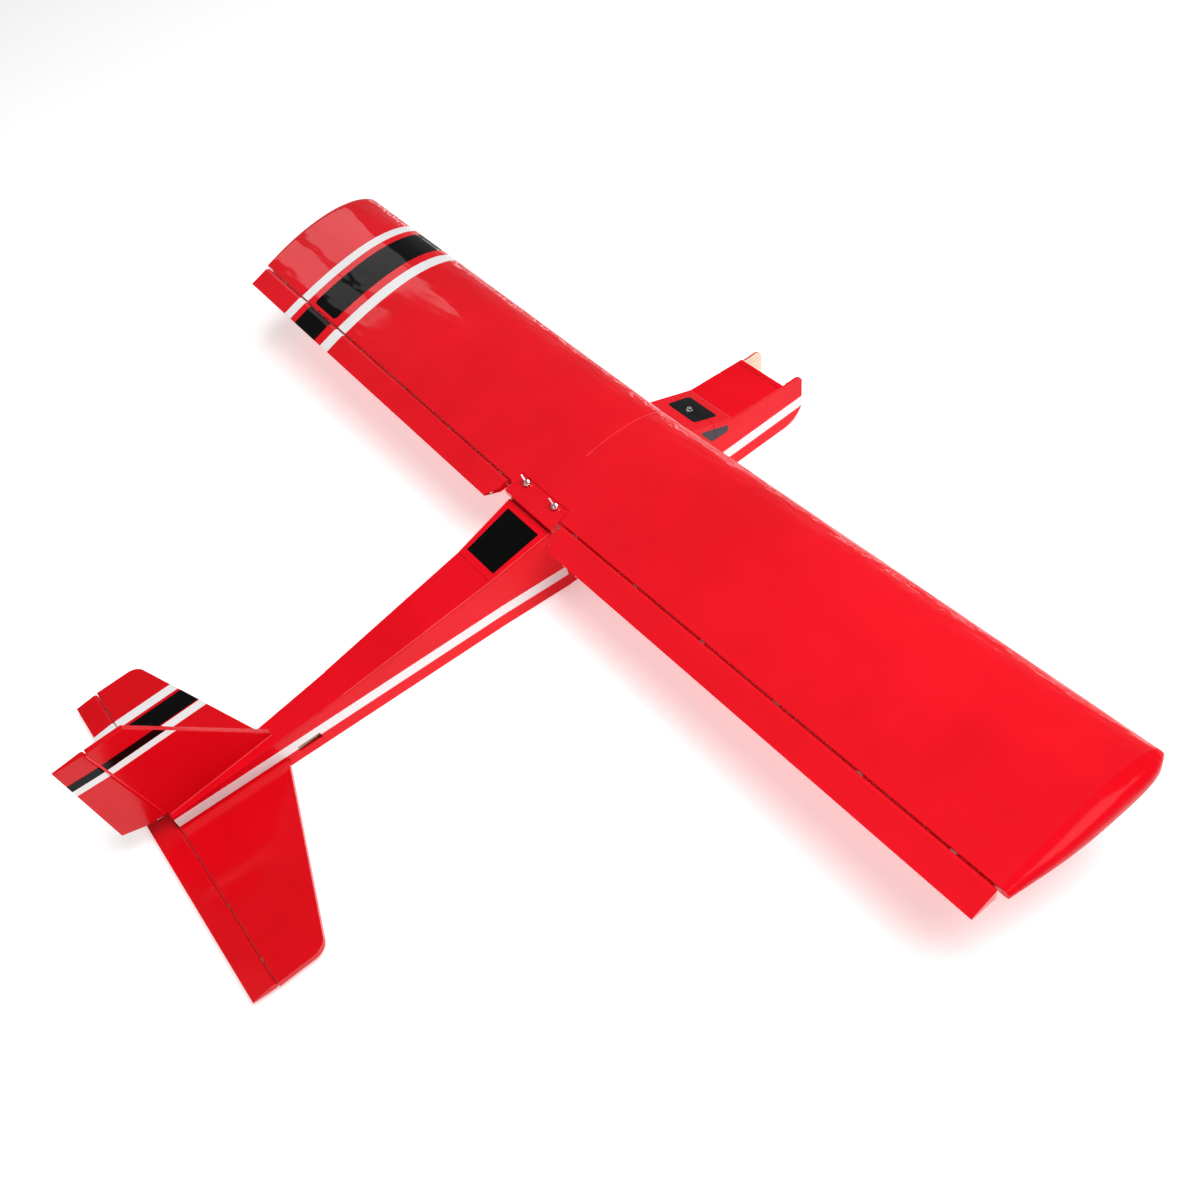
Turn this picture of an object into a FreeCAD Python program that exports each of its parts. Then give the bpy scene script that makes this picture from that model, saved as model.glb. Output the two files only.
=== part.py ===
import FreeCAD, Part
import math
import os

# High-wing radio-controlled trainer airframe, millimetres, +Z up.
# +X is the port (left) side, -Y is the nose. Places along the length are stations, counted aft
# from the wing's leading edge, and heights are counted up from the flat belly.
# save() moves the stations so that the origin lies under the middle of the whole length.

V = FreeCAD.Vector

# Wing
HALF_SPAN = 790.0
WING_CHORD = 248.0
WING_LE_Z = 114.0
WING_THICKNESS_RATIO = 0.13
WING_CAMBER_RATIO = 0.035
WING_CAMBER_PLACE = 0.40
WING_INCIDENCE_DEG = 2.6
DIHEDRAL_DEG = 1.6
AILERON_LINE = 210.0
TIP_LENGTH = 23.0
TIP_SQUEEZE = 0.995
TIP_FULLNESS = 0.66
SKIN = 1.5
SUB_SPAR = 6.0
RIB_THICKNESS = 2.5
RIB_COUNT = 8
FIRST_RIB_X = 64.0
SPAR_PLACE = 68.0
SPAR_WIDTH = 8.0
BRACE_THICKNESS = 3.0
BRACE_HALF_LENGTH = 58.0
# Outline of the rounded wing tip: chord place and share of the tip's length
TIP_PLAN = [(0.0, 0.30), (3.0, 0.40), (10.0, 0.58), (20.0, 0.78), (40.0, 0.96), (70.0, 1.0),
            (110.0, 0.99), (150.0, 0.84), (190.0, 0.58), (210.0, 0.42)]
TIP_CHORDS = (0.4, 1.2, 3.0, 6.0, 11.0, 20.0, 35.0, 60.0, 90.0, 120.0, 150.0, 180.0, 200.0, 210.0)

# Centre plate, which carries the wing bolts behind the wing
PLATE_HALF_WIDTH = 53.0
PLATE_FRONT = 194.0
PLATE_REAR = 225.2
PLATE_PROUD = 0.8
ROOT_BLOCK_X = (53.3, 61.4)
BOLT_STATION = 202.0
BOLT_X = 31.6
BOLT_RADIUS = 2.5
BOLT_WASHER_RADIUS = 4.6
BOLT_WASHER_THICKNESS = 1.2
BOLT_EAR = [(1.5, 2.0), (7.0, 5.2), (10.0, 9.6), (7.4, 11.8), (1.5, 5.4)]
BOLT_EAR_THICKNESS = 1.8
BOLT_BLOCK_TOP = 100.0
BOLT_BLOCK_BOTTOM = 88.0
BOLT_BLOCK_X = (23.0, 40.0)
BOLT_BLOCK_HALF_LENGTH = 10.0
PEG_RADIUS = 4.0
PEG_Z = 96.0
PEG_BLOCK = (12.0, 30.0)
PEG_BLOCK_HALF_WIDTH = 16.0

# Ailerons
AILERON_INNER_X = 62.4
AILERON_INNER_TE_X = 74.0
AILERON_OUTER_X = HALF_SPAN - TIP_LENGTH
AILERON_BEVEL_STATION = 228.0
AILERON_TE_HALF = 1.0
AILERON_CORNER = 6.0
AILERON_HINGE_X0 = 85.0
AILERON_HINGE_PITCH = 125.0
AILERON_HINGE_COUNT = 6
TORQUE_ROD_RADIUS = 1.5
TORQUE_HORN_X = 20.0
TORQUE_ROD_END_X = 69.0
TORQUE_TAIL_LENGTH = 24.0

# Fuselage, as half widths and top heights at stations
NOSE_STATION = -195.0
FIREWALL_STATION = -162.7
CREASE_STATION = -72.5
SEAM_STATION = -42.5
DECK_START = PLATE_REAR + 0.3
KINK_STATION = 320.4
SAG_STATION = 545.0
TAIL_POST = 791.7
PLAN = [(NOSE_STATION, 43.2), (0.0, 44.0), (DECK_START, 46.0), (KINK_STATION, 37.7), (TAIL_POST, 11.1)]
FIREWALL_TOP = 71.2
CREASE_TOP = 78.3
WINDSCREEN_TOP = 105.0
DECK_START_TOP = 101.3
KINK_TOP = 82.5
SAG_TOP = 56.8
TAIL_TOP = 38.0
WALL = 3.0
DECK_SHEET = 3.0
CHEEK_TOP = 68.0
CHEEK_CORNER = 10.0
CHEEK_CHIN_STATION = -188.0
CHEEK_CHIN_Z = 18.0
CHEEK_BELLY_STATION = -146.0
FIREWALL_THICKNESS = 6.0
FORMER_THICKNESS = 4.0
TAIL_FORMER_STATIONS = (KINK_STATION, 470.0, TAIL_POST - 215.7)
FRONT_FORMER = (3.0, 3.0 + FORMER_THICKNESS)
REAR_FORMER = (229.0, 229.0 + FORMER_THICKNESS)
# Windows in the formers, as half width and heights
FRONT_WINDOW = (30.0, 20.0, 84.0)
REAR_WINDOW = (34.0, 62.0, 88.0)
TAIL_WINDOW = (7.0, 8.0, 0.35)
# Top edges of the fuselage in side view
WINDSCREEN_LINE = [(CREASE_STATION, CREASE_TOP), (0.0, WINDSCREEN_TOP)]
NOSE_LINE = [(FIREWALL_STATION, FIREWALL_TOP), (CREASE_STATION, CREASE_TOP)]
REAR_LINE = [(DECK_START, DECK_START_TOP), (KINK_STATION, KINK_TOP), (SAG_STATION, SAG_TOP),
             (TAIL_POST, TAIL_TOP)]

# Hatch between the windscreen seam and the wing
HATCH_BOTTOM = 64.0
HATCH_REAR = -1.2
HATCH_TOP_THICKNESS = 4.0
HATCH_SCREW_STATION = -38.0
HATCH_SCREW_RADIUS = 1.5
HATCH_SCREW_HEAD_RADIUS = 4.6
HATCH_SCREW_GRIP_RADIUS = 3.2
HATCH_SCREW_WASHER = 1.1
HATCH_SCREW_TOP = 4.2
HATCH_SCREW_SLOT = (1.0, 12.0, 1.6)
CROSSBAR_LENGTH = 21.0
CROSSBAR_HEIGHT = 10.0

# Interfaces
ENGINE_BOLT_X = 48.0
ENGINE_BOLT_Z = 26.0
ENGINE_AXIS_Z = 38.0
ENGINE_HOLE_RADIUS = 2.05
GEAR_STATION = 118.0
GEAR_BOLT_X = 50.0
GEAR_BOLT_Y = 18.0
GEAR_HOLE_RADIUS = 1.6
GEAR_BLOCK_HEIGHT = 9.0
GEAR_BLOCK_MARGIN = 8.0
NUT_WALL = 0.9
NUT_FLANGE = 3.5
NUT_FLANGE_THICKNESS = 1.2
TANK_HOLE_RADIUS = 11.0

# Tail
STAB_TOP = 15.0
SURFACE_THICKNESS = 8.0
STAB_HALF_SPAN = 279.7
STAB_ROOT_LE = TAIL_POST - 150.7
STAB_ROOT_X = 18.0
STAB_TIP_LE = TAIL_POST - 61.9
STAB_CORNER = 16.0
ELEVATOR_CHORD = 32.3
ELEVATOR_HALF_SPAN = 278.1
TAIL_TE_HALF = 1.25
FIN_LE = TAIL_POST - 153.7
FIN_TOP_LE = TAIL_POST - 22.7
FIN_TOP = 196.0
HINGE_RAKE = 24.2
RUDDER_TOP_CHORD = 40.9
RUDDER_BOTTOM_CHORD = 56.0
RUDDER_BOTTOM = 42.5
RUDDER_KNEE = (TAIL_POST + 29.3, 44.7)
RUDDER_HEEL_Z = 53.0
STAB_HINGE_X = (60.0, 150.0, 240.0)
FIN_HINGE_Z = (62.0, 115.0, 168.0)

# Hinges: a leaf set in the fixed surface carries a pin that turns in the moving surface
HINGE_GAP = 1.0
HINGE_LEAF_WIDTH = 8.0
HINGE_LEAF_THICKNESS = 1.0
HINGE_LEAF_DEPTH = 5.5
HINGE_PIN_RADIUS = 0.9
HINGE_PIN_REACH = 3.0
HINGE_POCKET_HALF = 2.3

# Radio gear and linkages
SERVO_SIZE = (20.0, 40.5, 36.0)
SERVO_LUG = 7.0
SERVO_LUG_THICKNESS = 2.5
SERVO_LUG_DROP = 9.0
SERVO_SPLINE_RADIUS = 3.0
SERVO_SPLINE_HEIGHT = 4.0
SERVO_SHAFT_OFFSET = 10.0
ARM_THICKNESS = 2.0
ARM_BOSS_RADIUS = 5.3
ARM_HOLE_RADIUS = 3.3
WIRE_RADIUS = 1.0
AILERON_ARM_RADIUS = 20.0
TAIL_ARM_RADIUS = 13.0
THROTTLE_ARM_RADIUS = 9.0
AILERON_SERVO_STATION = 108.0
AILERON_SERVO_TOP = 91.0
TRAY_Z = 40.0
TRAY_THICKNESS = 3.0
TRAY_STATIONS = (74.0, 146.0)
TAIL_SERVO_STATION = 112.0
SERVO_X_PITCH = 27.0
ELEVATOR_HORN_X = 24.0
ELEVATOR_HORN_RADIUS = 15.0
RUDDER_HORN_RADIUS = 18.0
RUDDER_HORN_Z = 58.0
HORN_PIN_RADIUS = 1.0
HORN_PIN_LENGTH = 6.0
HORN_THICKNESS = 1.6
HORN_SCREW_RADIUS = 1.0
HORN_SCREW_PLACE = 9.0
HORN_SCREW_PITCH = 8.0
HORN_SCREW_BLIND = 1.5
HORN_FOOT = [(-7, 5), (7, 5), (7, 13), (-7, 13)]
HORN_FOOT_THICKNESS = 1.6
HORN_SEAT_GAP = 0.15
EYE_RADIUS = 2.7
EYE_WALL = 1.5
EYE_THICKNESS = 2.0
GUIDE_BORE = 2.0
GUIDE_RADIUS = 3.0
GUIDE_START = 190.0
GUIDE_SHORT = 13.4
SLOT_STATIONS = (TAIL_POST - 198.7, TAIL_POST - 166.7)
SLOT_HEIGHTS = (12.5, 22.5)
RUDDER_SLOT_STATIONS = (TAIL_POST - 111.7, TAIL_POST - 79.7)
RUDDER_SLOT_HEIGHTS = (34.5, 40.5)
THROTTLE_ROD_X = -36.0
SWITCH_STATION = 150.0
SWITCH_Z = 52.0
SWITCH_TRAVEL = 5.0
SWITCH_WINDOW = (18.0, 9.0)
SWITCH_SLOT = (12.0, 4.8)
SWITCH_DEPTH = 10.0
TANK_BOX = ((-24.0, 24.0), (-148.0, -58.0), (16.0, 60.0))
TANK_ROUNDING = 6.0
TANK_NECK_RADIUS = 9.0
TANK_PIPE_RADIUS = 1.6
BATTERY_CELLS = (-21.9, -7.3, 7.3, 21.9)
BATTERY_CELL_RADIUS = 7.2
BATTERY_STATIONS = (-52.0, -4.0)
BATTERY_Z = 12.5
RECEIVER_BOX = ((-16.0, 16.0), (160.0, 208.0), (4.5, 21.0))

# Clearances
GLUE_GAP = 0.1
SHAFT_GAP = 0.08
MOVING_GAP = 0.4

COS_I = math.cos(math.radians(WING_INCIDENCE_DEG))
SIN_I = math.sin(math.radians(WING_INCIDENCE_DEG))
TAN_D = math.tan(math.radians(DIHEDRAL_DEG))
COS_D = math.cos(math.radians(DIHEDRAL_DEG))
SIN_D = math.sin(math.radians(DIHEDRAL_DEG))
SIDES = {"left": 1, "right": -1}

RUDDER_TOP_TE = TAIL_POST + HINGE_RAKE + RUDDER_TOP_CHORD
ORIGIN_STATION = 0.5 * (NOSE_STATION + RUDDER_TOP_TE)


# ---- small helpers -------------------------------------------------------------------------

def save(name, shape):
    """Write one node, moved from stations to the part's own frame."""
    placed = shape.copy()
    placed.translate(V(0, -ORIGIN_STATION, 0))
    placed.exportStep("parts/" + name + ".step")


def box(x_range, s_range, z_range):
    corner = V(x_range[0], s_range[0], z_range[0])
    return Part.makeBox(x_range[1] - x_range[0], s_range[1] - s_range[0], z_range[1] - z_range[0], corner)


def rod(start, end, radius):
    along = end - start
    return Part.makeCylinder(radius, along.Length, start, along)


def ring(centre, axis, hole, wall, thickness):
    """A flat eye about an axis, centred on its thickness."""
    unit = V(axis).normalize()
    start = centre - unit * (thickness / 2)
    outer = Part.makeCylinder(hole + wall, thickness, start, unit)
    return outer.cut(Part.makeCylinder(hole, thickness, start, unit))


def bent_wire(points, radius):
    """Round wire along straight runs, with a slightly larger ball at each bend."""
    shape = rod(points[0], points[1], radius)
    for here, there in zip(points[1:], points[2:]):
        shape = shape.fuse([Part.makeSphere(radius + 0.03, here), rod(here, there, radius)])
    return shape.removeSplitter()


def polygon_face(points):
    return Part.Face(Part.makePolygon(points + [points[0]]))


def prism_x(outline, x_range):
    """Extrude an outline of (station, z) points across the fuselage."""
    face = polygon_face([V(x_range[0], s, z) for s, z in outline])
    return face.extrude(V(x_range[1] - x_range[0], 0, 0))


def prism_z(outline, z_range):
    """Extrude an outline of (x, station) points upwards."""
    face = polygon_face([V(x, s, z_range[0]) for x, s in outline])
    return face.extrude(V(0, 0, z_range[1] - z_range[0]))


def interpolate(table, station):
    """Straight-line reading of (station, value) pairs."""
    for (s0, v0), (s1, v1) in zip(table, table[1:]):
        if station <= s1:
            return v0 + (v1 - v0) * (station - s0) / (s1 - s0)
    return table[-1][1]


def group(shapes):
    return Part.makeCompound(shapes)


# ---- wing section --------------------------------------------------------------------------

def section_height(c, upper):
    """Height of the airfoil's surface above its chord line, from the four-digit formula."""
    u = min(max(c / WING_CHORD, 0.0), 1.0)
    poly = 0.2969 * math.sqrt(u) - 0.126 * u - 0.3516 * u ** 2 + 0.2843 * u ** 3 - 0.1015 * u ** 4
    half = 5 * WING_THICKNESS_RATIO * poly
    p = WING_CAMBER_PLACE
    if u < p:
        mean = WING_CAMBER_RATIO / p ** 2 * (2 * p * u - u * u)
    else:
        mean = WING_CAMBER_RATIO / (1 - p) ** 2 * (1 - 2 * p + 2 * p * u - u * u)
    return WING_CHORD * (mean + half if upper else mean - half)


def surface_point(c, upper, inset):
    """Station and height, at the wing's centre, of a surface point moved inwards by inset."""
    step = 0.05
    low = max(c - step, 0.0)
    rise = section_height(c + step, upper) - section_height(low, upper)
    run = c + step - low
    length = math.hypot(rise, run)
    turn = 1 if upper else -1
    chord = c + turn * inset * rise / length
    height = section_height(c, upper) - turn * inset * run / length
    if c == 0.0:
        chord, height = inset, 0.0
    return chord * COS_I + height * SIN_I, WING_LE_Z - chord * SIN_I + height * COS_I


def surface_z(station, upper):
    """Height of the wing's surface at a station, on the centre line."""
    c = station
    for _ in range(8):
        c += station - surface_point(c, upper, 0.0)[0]
    return surface_point(c, upper, 0.0)[1]


def wing_vector(x, point):
    return V(x, point[0], point[1] + abs(x) * TAN_D)


def spline(points):
    curve = Part.BSplineCurve()
    curve.interpolate(points)
    return curve.toShape()


def nose_section(x, rear, inset):
    """Closed wire of the section from the leading edge back to the chord place rear."""
    count = 14
    chords = [rear * (1 - math.cos(math.pi * k / (2 * count))) for k in range(count + 1)]
    upper = [wing_vector(x, surface_point(c, True, inset)) for c in reversed(chords)]
    lower = [wing_vector(x, surface_point(c, False, inset)) for c in chords[1:]]
    curve = spline(upper + lower)
    return Part.Wire([curve, Part.makeLine(lower[-1], upper[0])])


def middle_section(x, front, rear, inset, raise_top=0.0):
    """Closed wire of the section between two chord places."""
    chords = [front + (rear - front) * k / 3 for k in range(4)]
    upper = [wing_vector(x, surface_point(c, True, inset - raise_top)) for c in chords]
    lower = [wing_vector(x, surface_point(c, False, inset)) for c in reversed(chords)]
    edges = [spline(upper), Part.makeLine(upper[-1], lower[0])]
    edges += [spline(lower), Part.makeLine(lower[-1], upper[0])]
    return Part.Wire(edges)


def along_wing(wire, side, length):
    """Extrude a section outwards, following the dihedral."""
    return Part.Face(wire).extrude(V(side * length, 0, length * TAN_D))


# ---- moving surfaces -----------------------------------------------------------------------

def surface_section(axis_point, trailing, normal, nose_radius, te_half):
    """Closed wire of a flap section: round nose about the hinge axis, thin trailing edge."""
    aft = (trailing - axis_point).normalize()
    top, bottom = axis_point + normal * nose_radius, axis_point - normal * nose_radius
    nose = Part.Arc(bottom, axis_point - aft * nose_radius, top).toShape()
    te_top, te_bottom = trailing + normal * te_half, trailing - normal * te_half
    edges = [nose, Part.makeLine(top, te_top), Part.makeLine(te_top, te_bottom)]
    return Part.Wire(edges + [Part.makeLine(te_bottom, bottom)])


def hinged_surface(axis_points, trailing_points, normal, nose_radius, te_half):
    ends = []
    for point, trailing in zip(axis_points, trailing_points):
        ends.append(surface_section(point, trailing, normal, nose_radius, te_half))
    return Part.makeLoft(ends, True, True)


def hinge_parts(axis_point, axis, aft, normal, fixed_distance):
    """One hinge: the leaf with its pin, and what it cuts out of the moving and the fixed surface."""
    def block(half_width, fore, rear, half_height):
        corners = []
        for w, f in ((-1, fore), (1, fore), (1, rear), (-1, rear)):
            corners.append(axis_point + axis * (w * half_width) + aft * f - normal * half_height)
        return polygon_face(corners).extrude(normal * (2 * half_height))

    def pin(radius, extra):
        half = HINGE_LEAF_WIDTH / 2 + HINGE_PIN_REACH + extra
        return rod(axis_point - axis * half, axis_point + axis * half, radius)

    reach = fixed_distance + HINGE_LEAF_DEPTH
    leaf_half = HINGE_LEAF_WIDTH / 2
    thin = HINGE_LEAF_THICKNESS / 2
    leaf = block(leaf_half, -reach, 0.0, thin).fuse(pin(HINGE_PIN_RADIUS, 0.0)).removeSplitter()
    pocket = block(leaf_half + MOVING_GAP, -fixed_distance, HINGE_PIN_RADIUS + MOVING_GAP, HINGE_POCKET_HALF)
    moving_cut = pocket.fuse(pin(HINGE_PIN_RADIUS + SHAFT_GAP, MOVING_GAP))
    fixed_cut = block(leaf_half + GLUE_GAP, -reach - GLUE_GAP, 0.0, thin + GLUE_GAP)
    return leaf, moving_cut, fixed_cut


# ---- wing ----------------------------------------------------------------------------------

def aileron_frame(side):
    """Hinge axis, aft and normal directions, nose radius and axis point at x = 0."""
    upper = surface_point(AILERON_LINE, True, 0.0)
    lower = surface_point(AILERON_LINE, False, 0.0)
    radius = 0.5 * (upper[1] - lower[1]) * 0.97
    behind = radius + HINGE_GAP
    middle = ((upper[0] + lower[0]) / 2 + behind * COS_I, (upper[1] + lower[1]) / 2 - behind * SIN_I)
    trailing = surface_point(WING_CHORD, True, 0.0)
    return radius, V(0, middle[0], middle[1]), V(0, trailing[0], trailing[1]), V(side * COS_D, 0, SIN_D)


def aileron_place(point, side, x):
    return V(side * x, point.y, point.z + x * TAN_D)


def wing_hinges(side):
    radius, axis_point, trailing, axis = aileron_frame(side)
    aft = (trailing - axis_point).normalize()
    normal = axis.cross(aft).normalize() * side
    sets = []
    for k in range(AILERON_HINGE_COUNT):
        x = AILERON_HINGE_X0 + k * AILERON_HINGE_PITCH
        sets.append(hinge_parts(aileron_place(axis_point, side, x), axis, aft, normal, radius + HINGE_GAP))
    return sets


def torque_rod_path(side):
    radius, axis_point, trailing, axis = aileron_frame(side)
    aft = (trailing - axis_point).normalize()
    corner = aileron_place(axis_point, side, TORQUE_ROD_END_X)
    elbow = aileron_place(axis_point, side, TORQUE_HORN_X)
    foot = V(elbow.x, elbow.y, aileron_rod_z() - 2 * EYE_THICKNESS)
    return [foot, elbow, corner, corner + aft * TORQUE_TAIL_LENGTH]


def aileron_rod_z():
    """Height of the aileron pushrods, just above the servo arm's hanging pins."""
    return AILERON_SERVO_TOP - SERVO_SPLINE_HEIGHT - ARM_THICKNESS - 2 * MOVING_GAP - WIRE_RADIUS


def servo_bay():
    half_x = SERVO_SIZE[0] / 2 + MOVING_GAP
    half_s = SERVO_SIZE[1] / 2 + MOVING_GAP
    stations = (AILERON_SERVO_STATION - half_s, AILERON_SERVO_STATION + half_s)
    heights = (AILERON_SERVO_TOP, AILERON_SERVO_TOP + SERVO_SIZE[2] + MOVING_GAP)
    return box((-half_x, half_x), stations, heights)


def plate_cut(side):
    """Room in a wing panel for the centre plate."""
    front = surface_point(PLATE_FRONT, False, 0.0)[0] - GLUE_GAP
    x_range = sorted((-side * GLUE_GAP, side * (PLATE_HALF_WIDTH + GLUE_GAP)))
    return box(x_range, (front, WING_CHORD + 10), (WING_LE_Z - 40, WING_LE_Z + 40))


def root_block(side):
    """Fixed trailing edge between the centre plate and the aileron."""
    _, axis_point, _, _ = aileron_frame(side)
    start, end = ROOT_BLOCK_X
    section = middle_section(side * start, AILERON_LINE - SUB_SPAR, PLATE_REAR, 0.0)
    block = along_wing(section, side, end - start)
    bore = [aileron_place(axis_point, side, x) for x in (start - 1, end + 1)]
    return block.cut(rod(bore[0], bore[1], TORQUE_ROD_RADIUS + SHAFT_GAP))


def wing_skin(side):
    length = HALF_SPAN - TIP_LENGTH - GLUE_GAP
    start = side * GLUE_GAP / 2
    outer = along_wing(nose_section(start, AILERON_LINE, 0.0), side, length)
    inner = along_wing(nose_section(start, AILERON_LINE - SUB_SPAR, SKIN), side, length)
    skin = outer.cut(inner).cut(servo_bay()).cut(plate_cut(side)).fuse(root_block(side))
    return skin.cut([fixed for _, _, fixed in wing_hinges(side)])


def wing_spar(side, grow=0.0):
    inset = SKIN + GLUE_GAP - grow
    section = middle_section(side * GLUE_GAP / 2, SPAR_PLACE - grow, SPAR_PLACE + SPAR_WIDTH + grow, inset)
    return along_wing(section, side, HALF_SPAN - TIP_LENGTH - 2 * GLUE_GAP)


def dihedral_brace():
    front = SPAR_PLACE + SPAR_WIDTH + GLUE_GAP
    halves = []
    for side in SIDES.values():
        section = middle_section(0.0, front, front + BRACE_THICKNESS, SKIN + 1.0)
        halves.append(along_wing(section, side, BRACE_HALF_LENGTH))
    return halves[0].fuse(halves[1]).removeSplitter()


def wing_ribs(side):
    last_x = HALF_SPAN - TIP_LENGTH - RIB_THICKNESS - 1.0
    ribs = []
    for k in range(RIB_COUNT):
        x = FIRST_RIB_X + (last_x - FIRST_RIB_X) * k / (RIB_COUNT - 1)
        section = nose_section(side * x, AILERON_LINE - SUB_SPAR - GLUE_GAP, SKIN + GLUE_GAP)
        ribs.append(along_wing(section, side, RIB_THICKNESS).cut(wing_spar(side, GLUE_GAP)))
    return ribs


def wing_tip(side):
    """Rounded cap, lofted through half-round slices taken along the chord."""
    base = HALF_SPAN - TIP_LENGTH
    steps = 10
    slices = []
    for c in TIP_CHORDS:
        upper, lower = surface_point(c, True, 0.0), surface_point(c, False, 0.0)
        reach = TIP_LENGTH * interpolate(TIP_PLAN, c)
        points = []
        for k in range(steps + 1):
            turn = math.pi * k / steps
            upright = math.copysign(abs(math.cos(turn)) ** TIP_FULLNESS, math.cos(turn))
            share = (1 + upright * TIP_SQUEEZE) / 2
            place = [share * u + (1 - share) * v for u, v in zip(upper, lower)]
            across = abs(math.sin(turn)) ** TIP_FULLNESS
            points.append(wing_vector(side * (base + reach * across), place))
        slices.append(Part.Wire([spline(points), Part.makeLine(points[-1], points[0])]))
    return Part.makeLoft(slices, True, False)


def centre_plate():
    halves = []
    for side in SIDES.values():
        section = middle_section(0.0, PLATE_FRONT, PLATE_REAR, 0.0, PLATE_PROUD)
        halves.append(along_wing(section, side, PLATE_HALF_WIDTH))
    plate = halves[0].fuse(halves[1]).removeSplitter()
    for side in SIDES.values():
        radius, axis_point, _, _ = aileron_frame(side)
        start = aileron_place(axis_point, side, TORQUE_HORN_X - 3)
        end = aileron_place(axis_point, side, PLATE_HALF_WIDTH + 5)
        plate = plate.cut(rod(start, end, TORQUE_ROD_RADIUS + SHAFT_GAP))
        slot_x = sorted((start.x, start.x + side * 5.5))
        slot_z = (axis_point.z - 3 * radius, start.z + TORQUE_ROD_RADIUS + SHAFT_GAP)
        plate = plate.cut(box(slot_x, (axis_point.y - radius - 2, axis_point.y + radius + 2), slot_z))
        hole = BOLT_RADIUS + SHAFT_GAP
        plate = plate.cut(Part.makeCylinder(hole, 40, V(side * BOLT_X, BOLT_STATION, WING_LE_Z - 20)))
    return plate


def aileron(side):
    radius, axis_point, trailing, axis = aileron_frame(side)
    ends_x = (AILERON_INNER_X, AILERON_OUTER_X)
    axis_points = [aileron_place(axis_point, side, x) for x in ends_x]
    trailing_points = [aileron_place(trailing, side, x) for x in ends_x]
    aft = (trailing - axis_point).normalize()
    normal = axis.cross(aft).normalize() * side
    shape = hinged_surface(axis_points, trailing_points, normal, radius, AILERON_TE_HALF)
    front, rear = AILERON_LINE - 10, WING_CHORD + 10
    slant = (AILERON_INNER_TE_X - AILERON_INNER_X) / (trailing.y - AILERON_BEVEL_STATION)
    far_x = AILERON_INNER_X + slant * (rear - AILERON_BEVEL_STATION)
    outline = [(AILERON_INNER_X, front), (AILERON_INNER_X, AILERON_BEVEL_STATION), (far_x, rear)]
    nose = axis_point.y - radius
    outline += [(AILERON_OUTER_X, rear), (AILERON_OUTER_X, nose + AILERON_CORNER)]
    outline += [(AILERON_OUTER_X - 0.3 * AILERON_CORNER, nose + 0.3 * AILERON_CORNER)]
    outline += [(AILERON_OUTER_X - AILERON_CORNER, nose), (AILERON_OUTER_X - AILERON_CORNER, front)]
    shape = shape.common(prism_z([(side * x, s) for x, s in outline], (WING_LE_Z - 60, WING_LE_Z + 60)))
    shape = shape.cut(bent_wire(torque_rod_path(side)[1:], TORQUE_ROD_RADIUS + GLUE_GAP))
    return shape.cut([moving for _, moving, _ in wing_hinges(side)])


def torque_rod(side):
    return bent_wire(torque_rod_path(side), TORQUE_ROD_RADIUS)


def butterfly_bolt(side):
    """Wing bolt with a shoulder and two upright ears, along a vertical axis."""
    x, s = side * BOLT_X, BOLT_STATION
    rise = (BOLT_X + BOLT_WASHER_RADIUS) * TAN_D
    seat = surface_z(s - BOLT_WASHER_RADIUS, True) + PLATE_PROUD + rise + GLUE_GAP
    shank = Part.makeCylinder(BOLT_RADIUS, seat - BOLT_BLOCK_BOTTOM + 4, V(x, s, BOLT_BLOCK_BOTTOM - 4))
    washer = Part.makeCylinder(BOLT_WASHER_RADIUS, BOLT_WASHER_THICKNESS, V(x, s, seat))
    hub = Part.makeCone(3.8, 3.0, 4.2, V(x, s, seat + BOLT_WASHER_THICKNESS))
    bolt = shank.fuse([washer, hub])
    front = s - BOLT_EAR_THICKNESS / 2
    for way in (-1, 1):
        ear_face = polygon_face([V(x + way * across, front, seat + up) for across, up in BOLT_EAR])
        bolt = bolt.fuse(ear_face.extrude(V(0, BOLT_EAR_THICKNESS, 0)))
    return bolt.removeSplitter()


def wing_bolt_blocks():
    blocks = []
    for side in SIDES.values():
        stations = (BOLT_STATION - BOLT_BLOCK_HALF_LENGTH, BOLT_STATION + BOLT_BLOCK_HALF_LENGTH)
        outer = half_width(stations[0]) - WALL - GLUE_GAP
        x_range = sorted((side * BOLT_BLOCK_X[0], side * outer))
        block = box(x_range, stations, (BOLT_BLOCK_BOTTOM, BOLT_BLOCK_TOP))
        hole = Part.makeCylinder(BOLT_RADIUS + SHAFT_GAP, 60, V(side * BOLT_X, BOLT_STATION, 60))
        blocks.append(block.cut(hole))
    return group(blocks)


def wing_peg():
    """Dowel that holds the wing's front in the front former, with its block under the wing."""
    top = surface_z(PEG_BLOCK[1], False) - GLUE_GAP
    x_range = (-PEG_BLOCK_HALF_WIDTH, PEG_BLOCK_HALF_WIDTH)
    block = box(x_range, PEG_BLOCK, (PEG_Z - PEG_RADIUS - 3, top - 0.6))
    dowel = rod(V(0, FRONT_FORMER[0] - 1.5, PEG_Z), V(0, PEG_BLOCK[1] + 4, PEG_Z), PEG_RADIUS)
    return block.fuse(dowel).removeSplitter()


# ---- fuselage ------------------------------------------------------------------------------

def half_width(station):
    return interpolate(PLAN, station)


def plan_outline(s0, s1, inset):
    """Outline of the fuselage in plan between two stations, moved inwards by inset."""
    stations = [s0] + [s for s, _ in PLAN if s0 < s < s1] + [s1]
    port = [(half_width(s) - inset, s) for s in stations]
    return port + [(-x, s) for x, s in reversed(port)]


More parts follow.
